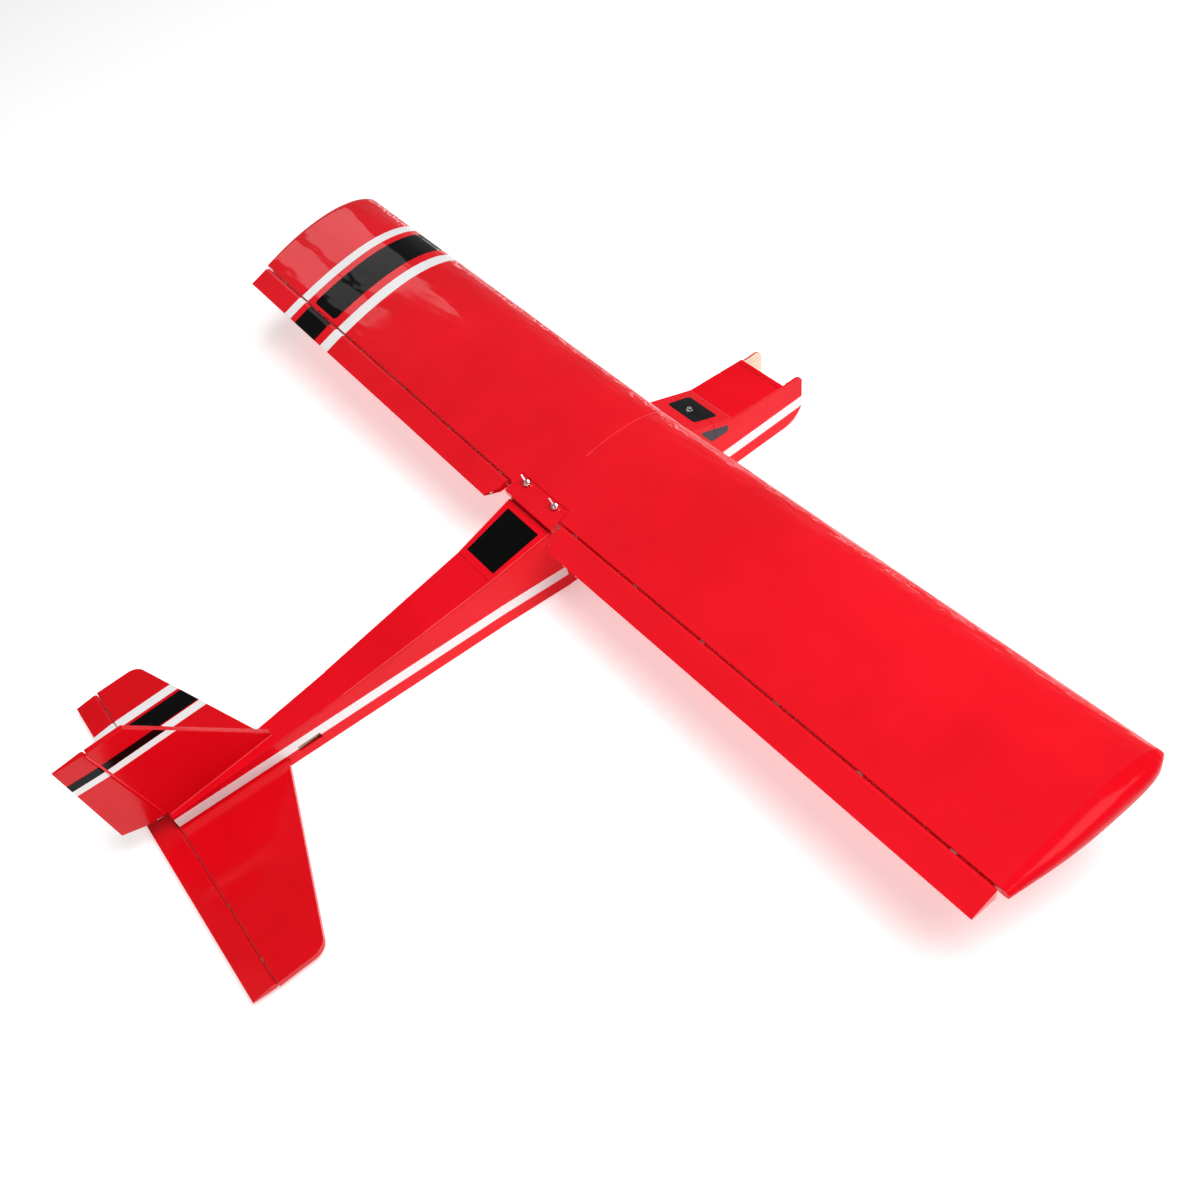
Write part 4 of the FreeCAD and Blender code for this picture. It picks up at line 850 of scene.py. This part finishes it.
def soft_copy(
    node: str,
    body: str,
    finish: Film,
    width: float,
    second: Finish | None = None,
    marked: Marked = Marked.INNER,
) -> bpy.types.Object:
    """A covered CAD node with rounded edges that catch the light.

    Args:
        node: the CAD node.
        body: the body that it belongs to.
        finish: the covering.
        width: the width of the rounded edges.
        second: the finish of the marked faces.
        marked: which faces those are.

    Returns:
        The new piece.
    """
    bench = Bench.copy(node).soften(width)
    if second:
        bench.mark(marked)
    return bench.piece(
        f"{node}_covering", body, finish, "red_film", (node,), second, round_below=40.0, even=True
    )


# ---------------------------------------------------------------------------------- sub-assemblies


@dataclass
class Wing:
    """Both wing halves, their ailerons, centre plate and trim."""

    white_outer: Span = (0.631, 0.650)
    black: Span = (0.551, 0.616)
    white_inner: Span = (0.510, 0.532)
    edge_gap: float = 0.0015
    hinge_margin: float = 0.005
    overrun: float = 0.01
    underrun: float = 0.001
    corner: float = 0.006
    joint_width: float = 0.0011
    joint_height: float = 0.0004
    joint_run: Span = (-1.0, 126.0)
    round_edge: float = 0.0005

    def build(self) -> None:
        """Dresses the covering and lays the trim and the centre joint."""
        for hand in ("left", "right"):
            name = f"aileron_{hand}"
            soft_copy(name, name, WING_FILM, self.round_edge)
        soft_copy("wing_centre_plate", "airframe", WING_FILM, self.round_edge)
        self.bands()
        self.joint()

    def bands(self) -> None:
        """White, black and white bands across the port wing and aileron."""
        low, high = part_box("wing_skin_left")
        chord = (low.y - self.overrun, high.y + self.underrun)
        inset = (low.y + self.edge_gap, high.y - self.hinge_margin)
        rear_low, rear_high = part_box("aileron_left")
        rear = (rear_low.y + self.underrun, rear_high.y + self.overrun)
        patch_rear = (rear[0] + self.underrun, rear[1])
        for name, span, finish, run, rear_run, corner in (
            ("outer_white", self.white_outer, WHITE_FILM, chord, rear, 0.0),
            ("inner_white", self.white_inner, WHITE_FILM, chord, rear, 0.0),
            ("black", self.black, BLACK_FILM, inset, patch_rear, self.corner),
        ):
            patch = oblong(span, run, Axis.Z, corner)
            trim_strip(f"wing_{name}_band", "wing_skin_left", "airframe", patch, finish, UP)
            patch = oblong(span, rear_run, Axis.Z)
            trim_strip(f"aileron_{name}_band", "aileron_left", "aileron_left", patch, finish, UP)

    def joint(self) -> None:
        """The raised film joint over the wing's centre line, painted lighter and pinker as a
        highlight.
        """
        half = (-self.joint_width, self.joint_width)
        run = (along(self.joint_run[0]), along(self.joint_run[1]))
        bench = Bench.copy("wing_skin_left", "wing_skin_right")
        bench.trim(oblong(half, run, Axis.Z)).facing(UP, least=0.1).outermost(UP)
        bench.thicken(self.joint_height)
        bench.piece("wing_centre_joint", "airframe", LAP_HIGHLIGHT_FILM, "red_film")


@dataclass
class Fuselage:
    """Fuselage sides, decks, windows and stripes.

    Heights and half widths that go with a station are in millimetres, as stations are.
    """

    stripe: Span = (0.0186, 0.0335)
    front_stripe: Span = (-197.0, 30.0)
    rear_stripe: Span = (221.0, 791.6)
    windscreen: tuple[Span, Span] = ((-24.1, 28.4), (-60.5, 29.9))
    rear_window: tuple[Span, Span] = ((236.6, 35.1), (310.1, 31.1))
    side_window: tuple[Span, ...] = ((-18.9, 89.6), (-65.3, 71.2), (-62.5, 61.9), (-34.9, 63.2))
    screen_corner: float = 0.005
    window_corner: float = 0.0025
    round_edge: float = 0.0006
    backing: tuple[Span, Span, Span] = ((588.0, 630.0), (0.0115, 0.0235), (0.0155, 0.0130))
    seam_edge: float = 0.0002
    lip: Span = (-155.9, -154.9)
    crease: Span = (-72.4, -71.5)
    bead: float = 0.0004
    bead_line: tuple[Point, ...] = ((227.0, 45.7, 101.0), (320.4, 37.5, 82.4), (545.0, 24.9, 56.7))
    beyond: Span = (-0.1, 0.1)
    sheets: tuple[str, ...] = ("nose_deck", "rear_window_deck", "rear_deck", "firewall")

    def build(self) -> None:
        """Covers the sheets and lays the window film and the stripes."""
        for node in self.sheets:
            soft_copy(node, "airframe", BODY_FILM, self.round_edge)
        for node, body in (("windscreen_panel", "airframe"), ("hatch_cover", "hatch")):
            # The seam ends get the near-black film: painted shade in the seam.
            soft_copy(node, body, BODY_FILM, self.seam_edge, SEAM_SHADE_FILM, Marked.ENDS)
        self.film_laps()
        for node in ("fuselage_side_left", "fuselage_side_right"):
            soft_copy(node, "airframe", BODY_FILM, self.round_edge, PALE_PLYWOOD)
        self.exit_backing()
        self.top_windows()
        for side in Side:
            self.side_film(side)

    @staticmethod
    def trapezium(ends: tuple[Span, Span], radius: float) -> Outline:
        """An outline that is as wide on both sides of the centre line.

        Args:
            ends: the station and the half width of its rear and front ends.
            radius: the radius of its corners.

        Returns:
            The outline.
        """
        (rear, rear_half), (front, front_half) = ends
        return Outline(
            (
                (-rear_half * MM, along(rear)),
                (rear_half * MM, along(rear)),
                (front_half * MM, along(front)),
                (-front_half * MM, along(front)),
            ),
            Axis.Z,
            radius,
        )

    def film_laps(self) -> None:
        """Lap lines of the covering: a dark strip across the nose, painted shade for the lap's dark
        line; a lighter strip at the crease and beads along the deck's edges, painted highlights.
        """
        lip = oblong(self.beyond, (along(self.lip[0]), along(self.lip[1])), Axis.Z)
        trim_strip("nose_lip_lap", "nose_deck", "airframe", lip, LIP_SHADE_FILM, UP)
        fold = oblong(self.beyond, (along(self.crease[0]), along(self.crease[1])), Axis.Z)
        trim_strip("crease_highlight_strip", "windscreen_panel", "airframe", fold, LAP_HIGHLIGHT_FILM, UP)
        # Beads along both deck edges, painted lighter as highlights.
        bench = Bench()
        for side in Side:
            line = [Vector((side.value * x * MM, along(s), z * MM)) for s, x, z in self.bead_line]
            for start, end in zip(line, line[1:]):
                bench.rod(start, end, self.bead, 8)
        bench.piece("deck_edge_highlight_beads", "airframe", LAP_HIGHLIGHT_FILM, "red_film")

    def exit_backing(self) -> None:
        """Balsa sheet inside the starboard pushrod exit."""
        (front, rear), (low, high), (outer, inner) = self.backing
        bench = Bench().block((-outer, along(front), low), (-inner, along(rear), high))
        bench.piece("pushrod_exit_backing", "airframe", BALSA, "balsa")

    def top_windows(self) -> None:
        """Black film on the windscreen, on the hatch behind its seam, and behind the wing."""
        screen = self.trapezium(self.windscreen, self.screen_corner)
        trim_strip("windscreen_film", "windscreen_panel", "airframe", screen, BLACK_FILM, UP)
        trim_strip("hatch_film", "hatch_cover", "hatch", screen, BLACK_FILM, UP)
        rear = self.trapezium(self.rear_window, 0.0)
        trim_strip("rear_window_film", "rear_window_deck", "airframe", rear, BLACK_FILM, UP)

    def side_film(self, side: Side) -> None:
        """Stripes and the side window of one side.

        Args:
            side: port or starboard.
        """
        hand, out = side.hand, side.out
        node = f"fuselage_side_{hand}"
        for name, (front, rear) in (("front", self.front_stripe), ("rear", self.rear_stripe)):
            outline = oblong((along(front), along(rear)), self.stripe, Axis.X)
            trim_strip(f"{name}_stripe_{hand}", node, "airframe", outline, WHITE_FILM, out)
        corners = tuple((along(s), z * MM) for s, z in self.side_window)
        window = Outline(corners, Axis.X, self.window_corner)
        trim_strip(f"side_window_front_{hand}", node, "airframe", window, SMOKE_FILM, out)
        trim_strip(f"side_window_rear_{hand}", "hatch_cover", "hatch", window, SMOKE_FILM, out)


@dataclass
class Tail:
    """Fin, rudder, stabiliser and elevator."""

    white_outer: Span = (0.197, 0.212)
    black: Span = (0.158, 0.192)
    white_inner: Span = (0.142, 0.156)
    fin_black: Span = (0.157, 0.1685)
    fin_white: Span = (0.1475, 0.1569)
    round_edge: float = 0.0007
    fin_half: float = 0.0040
    bead: float = 0.0007
    bead_front: Span = (640.0, 49.8)
    bead_rear: Span = (790.0, 38.2)
    overrun: float = 0.01

    def root_beads(self) -> None:
        """A bead of turned-out film along each side of the fin's root, painted lighter and pinker as
        a highlight.
        """
        bench = Bench()
        for side in Side:
            ends = []
            for station, height in (self.bead_front, self.bead_rear):
                ends.append(Vector((side.value * self.fin_half, along(station), height * MM)))
            bench.rod(ends[0], ends[1], self.bead, 8)
        bench.piece("fin_root_beads", "airframe", LAP_HIGHLIGHT_FILM, "red_film")

    def build(self) -> None:
        """Covers the tail surfaces, lays their bands and the beads at the fin's root."""
        # The tail's covering takes the darker red: painted shade.
        for node, body in (
            ("stabiliser", "airframe"),
            ("fin", "airframe"),
            ("elevator", "elevator"),
            ("rudder", "rudder"),
        ):
            soft_copy(node, body, TAIL_FILM, self.round_edge)
        self.root_beads()
        low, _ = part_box("stabiliser")
        _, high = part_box("rudder")
        run = (low.y - self.overrun, high.y + self.overrun)
        for name, span, finish in (
            ("outer_white", self.white_outer, WHITE_FILM),
            ("black", self.black, BLACK_FILM),
            ("inner_white", self.white_inner, WHITE_FILM),
        ):
            outline = oblong(span, run, Axis.Z)
            trim_strip(f"stabiliser_{name}_band", "stabiliser", "airframe", outline, finish, UP)
            trim_strip(f"elevator_{name}_band", "elevator", "elevator", outline, finish, UP)
        for side in Side:
            for name, span, finish in (
                ("black", self.fin_black, BLACK_FILM),
                ("white", self.fin_white, WHITE_FILM),
            ):
                outline = oblong(run, span, Axis.X)
                for node, body in (("fin", "airframe"), ("rudder", "rudder")):
                    piece = f"{node}_{name}_band_{side.hand}"
                    trim_strip(piece, node, body, outline, finish, side.out)


@dataclass(frozen=True)
class Seal:
    """Film that closes the lower half of a hinge gap, seen along the hinge; it is brighter than the
    covering, painted light that lifts the gap's shade.

    start and end are the hinge axis's ends, aft and up the moving surface's own directions, all
    in metres; nose is the moving surface's nose radius and gap its distance from the fixed one.
    """

    name: str
    start: Vector
    end: Vector
    aft: Vector
    up: Vector
    nose: float
    gap: float = 0.0010
    clear: float = 0.00035
    back_clear: float = 0.00002
    turns: tuple[float, ...] = (0.0, 15.0, 30.0, 45.0, 60.0)
    lowered: float = 0.0007

    def build(self) -> None:
        """Adds the seal as one closed strip."""
        radius, back = self.nose + self.clear, self.nose + self.gap - self.back_clear
        profile = [(-back, -self.lowered)]
        for degrees in self.turns:
            turn = math.radians(degrees)
            profile.append((-radius * math.cos(turn), -self.lowered - radius * math.sin(turn)))
        profile.append((-back, profile[-1][1]))
        bench = Bench()
        ring = [bench.bm.verts.new(self.start + self.aft * a + self.up * b) for a, b in profile]
        end = bench.bm.faces.new(ring)
        grown = bmesh.ops.extrude_face_region(bench.bm, geom=[end])["geom"]
        moved = [v for v in grown if isinstance(v, bmesh.types.BMVert)]
        bmesh.ops.translate(bench.bm, verts=moved, vec=self.end - self.start)
        bmesh.ops.recalc_face_normals(bench.bm, faces=list(bench.bm.faces))
        bench.piece(self.name, "airframe", HINGE_GAP_LIGHT_FILM, "red_film")


@dataclass
class Seals:
    """The film in all the hinge gaps.

    An axis is its station and height, and a reach its distance from the centre line, in
    millimetres; the angles are in degrees.
    """

    wing_axis: Span = (216.395, 108.045)
    wing_reach: Span = (63.5, 759.0)
    wing_nose: float = 5.442
    wing_droop: float = 8.98
    dihedral: float = 1.6
    tail_axis: Span = (796.7, 11.0)
    tail_reach: float = 277.0
    tail_nose: float = 4.0
    fin_foot: Span = (792.93, 46.0)
    fin_head: Span = (815.59, 194.0)
    fin_gap: float = 1.0

    def build(self) -> None:
        """Adds the seals of the ailerons, the elevator and the rudder."""
        self.ailerons()
        station, height = (along(self.tail_axis[0]), self.tail_axis[1] * MM)
        ends = [Vector((x * MM, station, height)) for x in (-self.tail_reach, self.tail_reach)]
        back = Vector((0.0, 1.0, 0.0))
        Seal("elevator_seal", *ends, back, UP, self.tail_nose * MM).build()
        ends = [Vector((0.0, along(s), z * MM)) for s, z in (self.fin_foot, self.fin_head)]
        run = (ends[1] - ends[0]).normalized()
        back = Vector((0.0, run.z, -run.y))
        shift = back * (self.tail_nose + self.fin_gap) * MM
        ends = [end + shift for end in ends]
        Seal("rudder_seal", *ends, back, Side.PORT.out, self.tail_nose * MM).build()

    def ailerons(self) -> None:
        """Adds the two seals in front of the ailerons."""
        slope = math.tan(math.radians(self.dihedral))
        droop = math.radians(self.wing_droop)
        back = Vector((0.0, math.cos(droop), -math.sin(droop)))
        up = Vector((0.0, math.sin(droop), math.cos(droop)))
        station, height = self.wing_axis
        for side in Side:
            ends = [
                Vector((side.value * x * MM, along(station), (height + x * slope) * MM))
                for x in self.wing_reach
            ]
            Seal(f"aileron_seal_{side.hand}", *ends, back, up, self.wing_nose * MM).build()


@dataclass
class Fittings:
    """Screws, grommets, plates and leads of the radio gear, and the tank's clamp.

    grommet is a radius and a height, clamp and clamp_screw a radius and the front and rear ends,
    plate a thickness and half the length and height, and lead_pitch the pitch of rows and wires.
    """

    screw_head: float = 0.0021
    screw_height: float = 0.0014
    washer_height: float = 0.0004
    lug_inset: float = 0.0035
    lug_half: float = 0.005
    lug_drop: float = 0.0156
    grommet: Span = (0.0030, 0.0012)
    tank_middle: float = 0.038
    clamp: Point = (0.0092, 0.0060, 0.0075)
    clamp_screw: Point = (0.0018, 0.0045, 0.0060)
    plate: Point = (0.0010, 0.0034, 0.0055)
    plate_reach: float = 0.0125
    plate_clear: float = 0.0004
    lead: float = 0.0006
    lead_rows: int = 4
    lead_pitch: Span = (0.0062, 0.0012)

    def build(self) -> None:
        """Adds the small fittings."""
        for name in ("throttle_servo", "rudder_servo", "elevator_servo", "aileron_servo"):
            self.servo_screws(name)
        self.tank_front()
        self.switch_screws()
        self.receiver_leads()

    def head(self, bench: Bench, place: Vector, way: Vector) -> None:
        """Adds one screw head with its washer.

        Args:
            bench: where it is added.
            place: the middle of its seat.
            way: the direction that it looks along.
        """
        washer = place + way * self.washer_height
        bench.rod(place, washer, self.screw_head * 1.35, 14)
        bench.rod(washer, place + way * self.screw_height, self.screw_head * 0.8, 12)

    def servo_screws(self, name: str) -> None:
        """The four screws through one servo's lugs.

        Args:
            name: the servo, which hangs from its lugs when it is the ailerons'.
        """
        low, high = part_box(name)
        hangs = name == "aileron_servo"
        way, face = (-UP, low.z + self.lug_drop) if hangs else (UP, high.z - self.lug_drop)
        radius, height = self.grommet
        bench, grommets = Bench(), Bench()
        for y in (low.y + self.lug_inset, high.y - self.lug_inset):
            for x in (-self.lug_half, self.lug_half):
                place = Vector(((low.x + high.x) / 2.0 + x, y, face))
                grommets.rod(place, place + way * height, radius, 14)
                self.head(bench, place + way * height, way)
        bench.piece(f"{name}_screws", "airframe", PLATED)
        grommets.piece(f"{name}_grommets", "airframe", RUBBER)

    def tank_front(self) -> None:
        """The tank's clamp plate and its screw."""
        low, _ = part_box("fuel_tank")
        middle = Vector((0.0, low.y, self.tank_middle))
        back = Vector((0.0, 1.0, 0.0))
        bench = Bench()
        for (radius, front, rear), sides in ((self.clamp, 24), (self.clamp_screw, 10)):
            bench.rod(middle + back * front, middle + back * rear, radius, sides)
        bench.piece("tank_clamp", "airframe", PLATED)

    def switch_screws(self) -> None:
        """The face plates of the power switch, each with its screw."""
        low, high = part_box("power_switch")
        _, slider_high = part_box("switch_slider")
        y, z = (low.y + high.y) / 2.0, (low.z + high.z) / 2.0
        skin = slider_high.x + self.plate_clear
        thick, half_long, half_high = self.plate
        plates, screws = Bench(), Bench()
        for way in (-1.0, 1.0):
            centre = y + way * self.plate_reach
            face = skin + thick
            plates.block(
                (skin, centre - half_long, z - half_high), (face, centre + half_long, z + half_high)
            )
            self.head(screws, Vector((face, centre, z)), Side.PORT.out)
        plates.piece("switch_plates", "airframe", BLACK_PLASTIC, "servo_plastic")
        screws.piece("switch_screws", "airframe", PLATED)

    def receiver_leads(self) -> None:
        """Three-wire leads from the receiver forward to the servos."""
        low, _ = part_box("receiver")
        row_pitch, wire_pitch = self.lead_pitch
        for index, finish in enumerate((LEAD_BROWN, LEAD_RED, LEAD_ORANGE)):
            bench = Bench()
            for row in range(self.lead_rows):
                x = (row - (self.lead_rows - 1) / 2.0) * row_pitch + (index - 1) * wire_pitch
                start = Vector((x, low.y - 0.0002, low.z + 0.010))
                middle = start + Vector((0.0, -0.014, 0.006))
                end = middle + Vector((x * 1.2, -0.010, 0.012))
                bench.rod(start, middle, self.lead, 8).rod(middle, end, self.lead, 8)
            bench.piece(f"receiver_leads_{finish.name}", "airframe", finish)


@dataclass
class FrameParts:
    """Finishes of the CAD nodes that are shown as they are."""

    by_finish: tuple[tuple[Finish, tuple[str, ...]], ...] = (
        (
            WING_FILM,
            ("wing_skin_", "wing_tip_", "aileron_left", "aileron_right", "wing_centre_plate"),
        ),
        (CAP_FILM, ("wing_tip_right",)),
        (TAIL_FILM, ("stabiliser", "elevator", "fin", "rudder")),
        (
            BODY_FILM,
            (
                "fuselage_side_",
                "bottom_sheet",
                "nose_deck",
                "windscreen_panel",
                "hatch_cover",
                "rear_window_deck",
                "rear_deck",
                "firewall",
            ),
        ),
        (BALSA, ("wing_ribs", "wing_spars", "tail_formers", "rear_former")),
        (
            PLYWOOD,
            (
                "dihedral_brace",
                "front_former",
                "wing_peg",
                "wing_bolt_blocks",
                "landing_gear_block",
                "servo_tray",
                "hatch_crossbar",
            ),
        ),
        (
            WIRE,
            (
                "aileron_torque_rod_",
                "aileron_pushrod_",
                "elevator_pushrod",
                "rudder_pushrod",
                "throttle_pushrod",
            ),
        ),
        (PLATED, ("wing_bolt_left", "wing_bolt_right", "hatch_thumb_screw", "engine_mount_nuts")),
        (
            BLACK_PLASTIC,
            (
                "aileron_servo",
                "elevator_servo",
                "rudder_servo",
                "throttle_servo",
                "receiver",
                "power_switch",
                "switch_slider",
            ),
        ),
        (
            NYLON,
            (
                "aileron_servo_arm",
                "elevator_servo_arm",
                "rudder_servo_arm",
                "throttle_servo_arm",
                "elevator_horn",
                "rudder_horn",
                "pushrod_guide_tubes",
            ),
        ),
        (TANK, ("fuel_tank",)),
        (SLEEVE, ("battery_pack",)),
        (HINGE_METAL, ("aileron_hinges", "tail_hinges")),
    )

    def dress(self, nodes: dict[str, bpy.types.Object]) -> None:
        """Gives every CAD node its material.

        Args:
            nodes: the CAD nodes by name.
        """
        for finish, names in self.by_finish:
            for name in names:
                for node, piece in nodes.items():
                    if node == name or (name.endswith("_") and node.startswith(name)):
                        for place in piece.material_slots:
                            place.material = STORES.get(finish)
                        LOG.info("node %s in %s", node, finish.name)


@dataclass(frozen=True)
class Lamp:
    """One soft area light that looks at the model: its place, size and power in watts."""

    name: str
    place: Point
    size: Span
    power: float

    def build(self) -> None:
        """Hangs the lamp."""
        data = bpy.data.lights.new(self.name, "AREA")
        data.shape = "RECTANGLE"
        data.size, data.size_y = self.size
        data.energy = self.power
        lamp = bpy.data.objects.new(self.name, data)
        lamp.location = self.place
        lamp.rotation_euler = (-Vector(self.place)).to_track_quat("-Z", "Y").to_euler()
        bpy.context.scene.collection.objects.link(lamp)


@dataclass
class Studio:
    """Floor, soft light and camera; focal and frame share one unit."""

    floor_size: float = 30.0
    floor_gap: float = 0.0006
    eye: Point = (-1.18523, 0.32500, 1.28435)
    target: Point = (-0.16526, -0.09076, 0.08)
    roll: float = -19.388
    focal: float = 1354.868
    frame: float = 1200.0
    sensor: float = 36.0
    sky_levels: tuple[Span, ...] = ((0.0, 0.44), (0.24, 0.32), (0.46, 0.15), (1.0, 0.12))
    lamps: tuple[Lamp, ...] = (
        Lamp("key_light", (-1.3, -0.9, 3.2), (2.3, 2.3), 128.0),
        Lamp("fill_light", (1.0, 2.6, 2.9), (2.6, 2.6), 34.0),
        Lamp("edge_strip", (2.2, -3.2, 0.46), (3.4, 0.07), 5.0),
        Lamp("near_pane", (3.2, -0.85, 1.9), (0.86, 0.8), 2.1),
        Lamp("far_pane", (3.2, -0.165, 1.9), (0.33, 0.8), 0.8),
    )

    def build(self) -> None:
        """Makes the whole studio."""
        self.floor()
        self.sky()
        for lamp in self.lamps:
            lamp.build()
        self.camera()

    def floor(self) -> None:
        """A plain pale floor under the belly."""
        bench = Bench()
        bmesh.ops.create_grid(bench.bm, x_segments=2, y_segments=2, size=self.floor_size / 2.0)
        bmesh.ops.translate(bench.bm, verts=bench.bm.verts, vec=(0.0, 0.0, -self.floor_gap))
        mesh = bpy.data.meshes.new("studio_floor")
        bench.bm.to_mesh(mesh)
        bench.bm.free()
        shader = Shader("pale_floor")
        cloud = shader.noise(shader.place(), scale=1.5, detail=3.0)
        mesh.materials.append(
            shader.done(
                Base_Color=shader.mix(cloud, (0.93, 0.93, 0.93), (0.90, 0.90, 0.90)),
                Roughness=0.85,
                Specular_IOR_Level=0.2,
                Emission_Color=(1.0, 1.0, 1.0),
                Emission_Strength=0.38,
            )
        )
        made = bpy.data.objects.new("studio_floor", mesh)
        bpy.context.scene.collection.objects.link(made)

    def sky(self) -> None:
        """A world that is bright at the horizon and dim overhead."""
        world = bpy.data.worlds.new("studio_world")
        bpy.context.scene.world = world
        world.use_nodes = True
        nodes = Nodes(world.node_tree)
        way = nodes.add("ShaderNodeTexCoord", {}, {}, "Generated")
        stops = tuple((height, (level, level, level)) for height, level in self.sky_levels)
        level = nodes.add("ShaderNodeValToRGB", {"stops": stops}, {"Fac": nodes.axis(way, "Z")})
        glow = nodes.add("ShaderNodeBackground", {}, {"Color": level}, "Background")
        nodes.add("ShaderNodeOutputWorld", {}, {"Surface": glow}, None)

    def camera(self) -> None:
        """The camera, over the starboard tail, rolled to the left."""
        data = bpy.data.cameras.new("camera")
        data.sensor_width = self.sensor
        data.lens = self.sensor * self.focal / self.frame
        data.clip_start, data.clip_end = 0.05, 60.0
        camera = bpy.data.objects.new("camera", data)
        look = (Vector(self.target) - Vector(self.eye)).to_track_quat("-Z", "Y").to_matrix().to_4x4()
        turn = Matrix.Rotation(math.radians(self.roll), 4, "Z")
        camera.matrix_world = Matrix.Translation(self.eye) @ look @ turn
        bpy.context.scene.collection.objects.link(camera)
        bpy.context.scene.camera = camera


def main() -> None:
    """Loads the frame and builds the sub-assemblies in order."""
    logging.basicConfig(level=logging.INFO, format="%(name)s: %(message)s")
    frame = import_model()
    bpy.context.view_layer.update()
    bpy.context.scene.view_settings.view_transform = "Standard"
    Studio().build()
    FrameParts().dress(frame["nodes"])
    Wing().build()
    Fuselage().build()
    Tail().build()
    Seals().build()
    Fittings().build()
    bpy.context.view_layer.update()


if __name__ == "__main__":
    main()
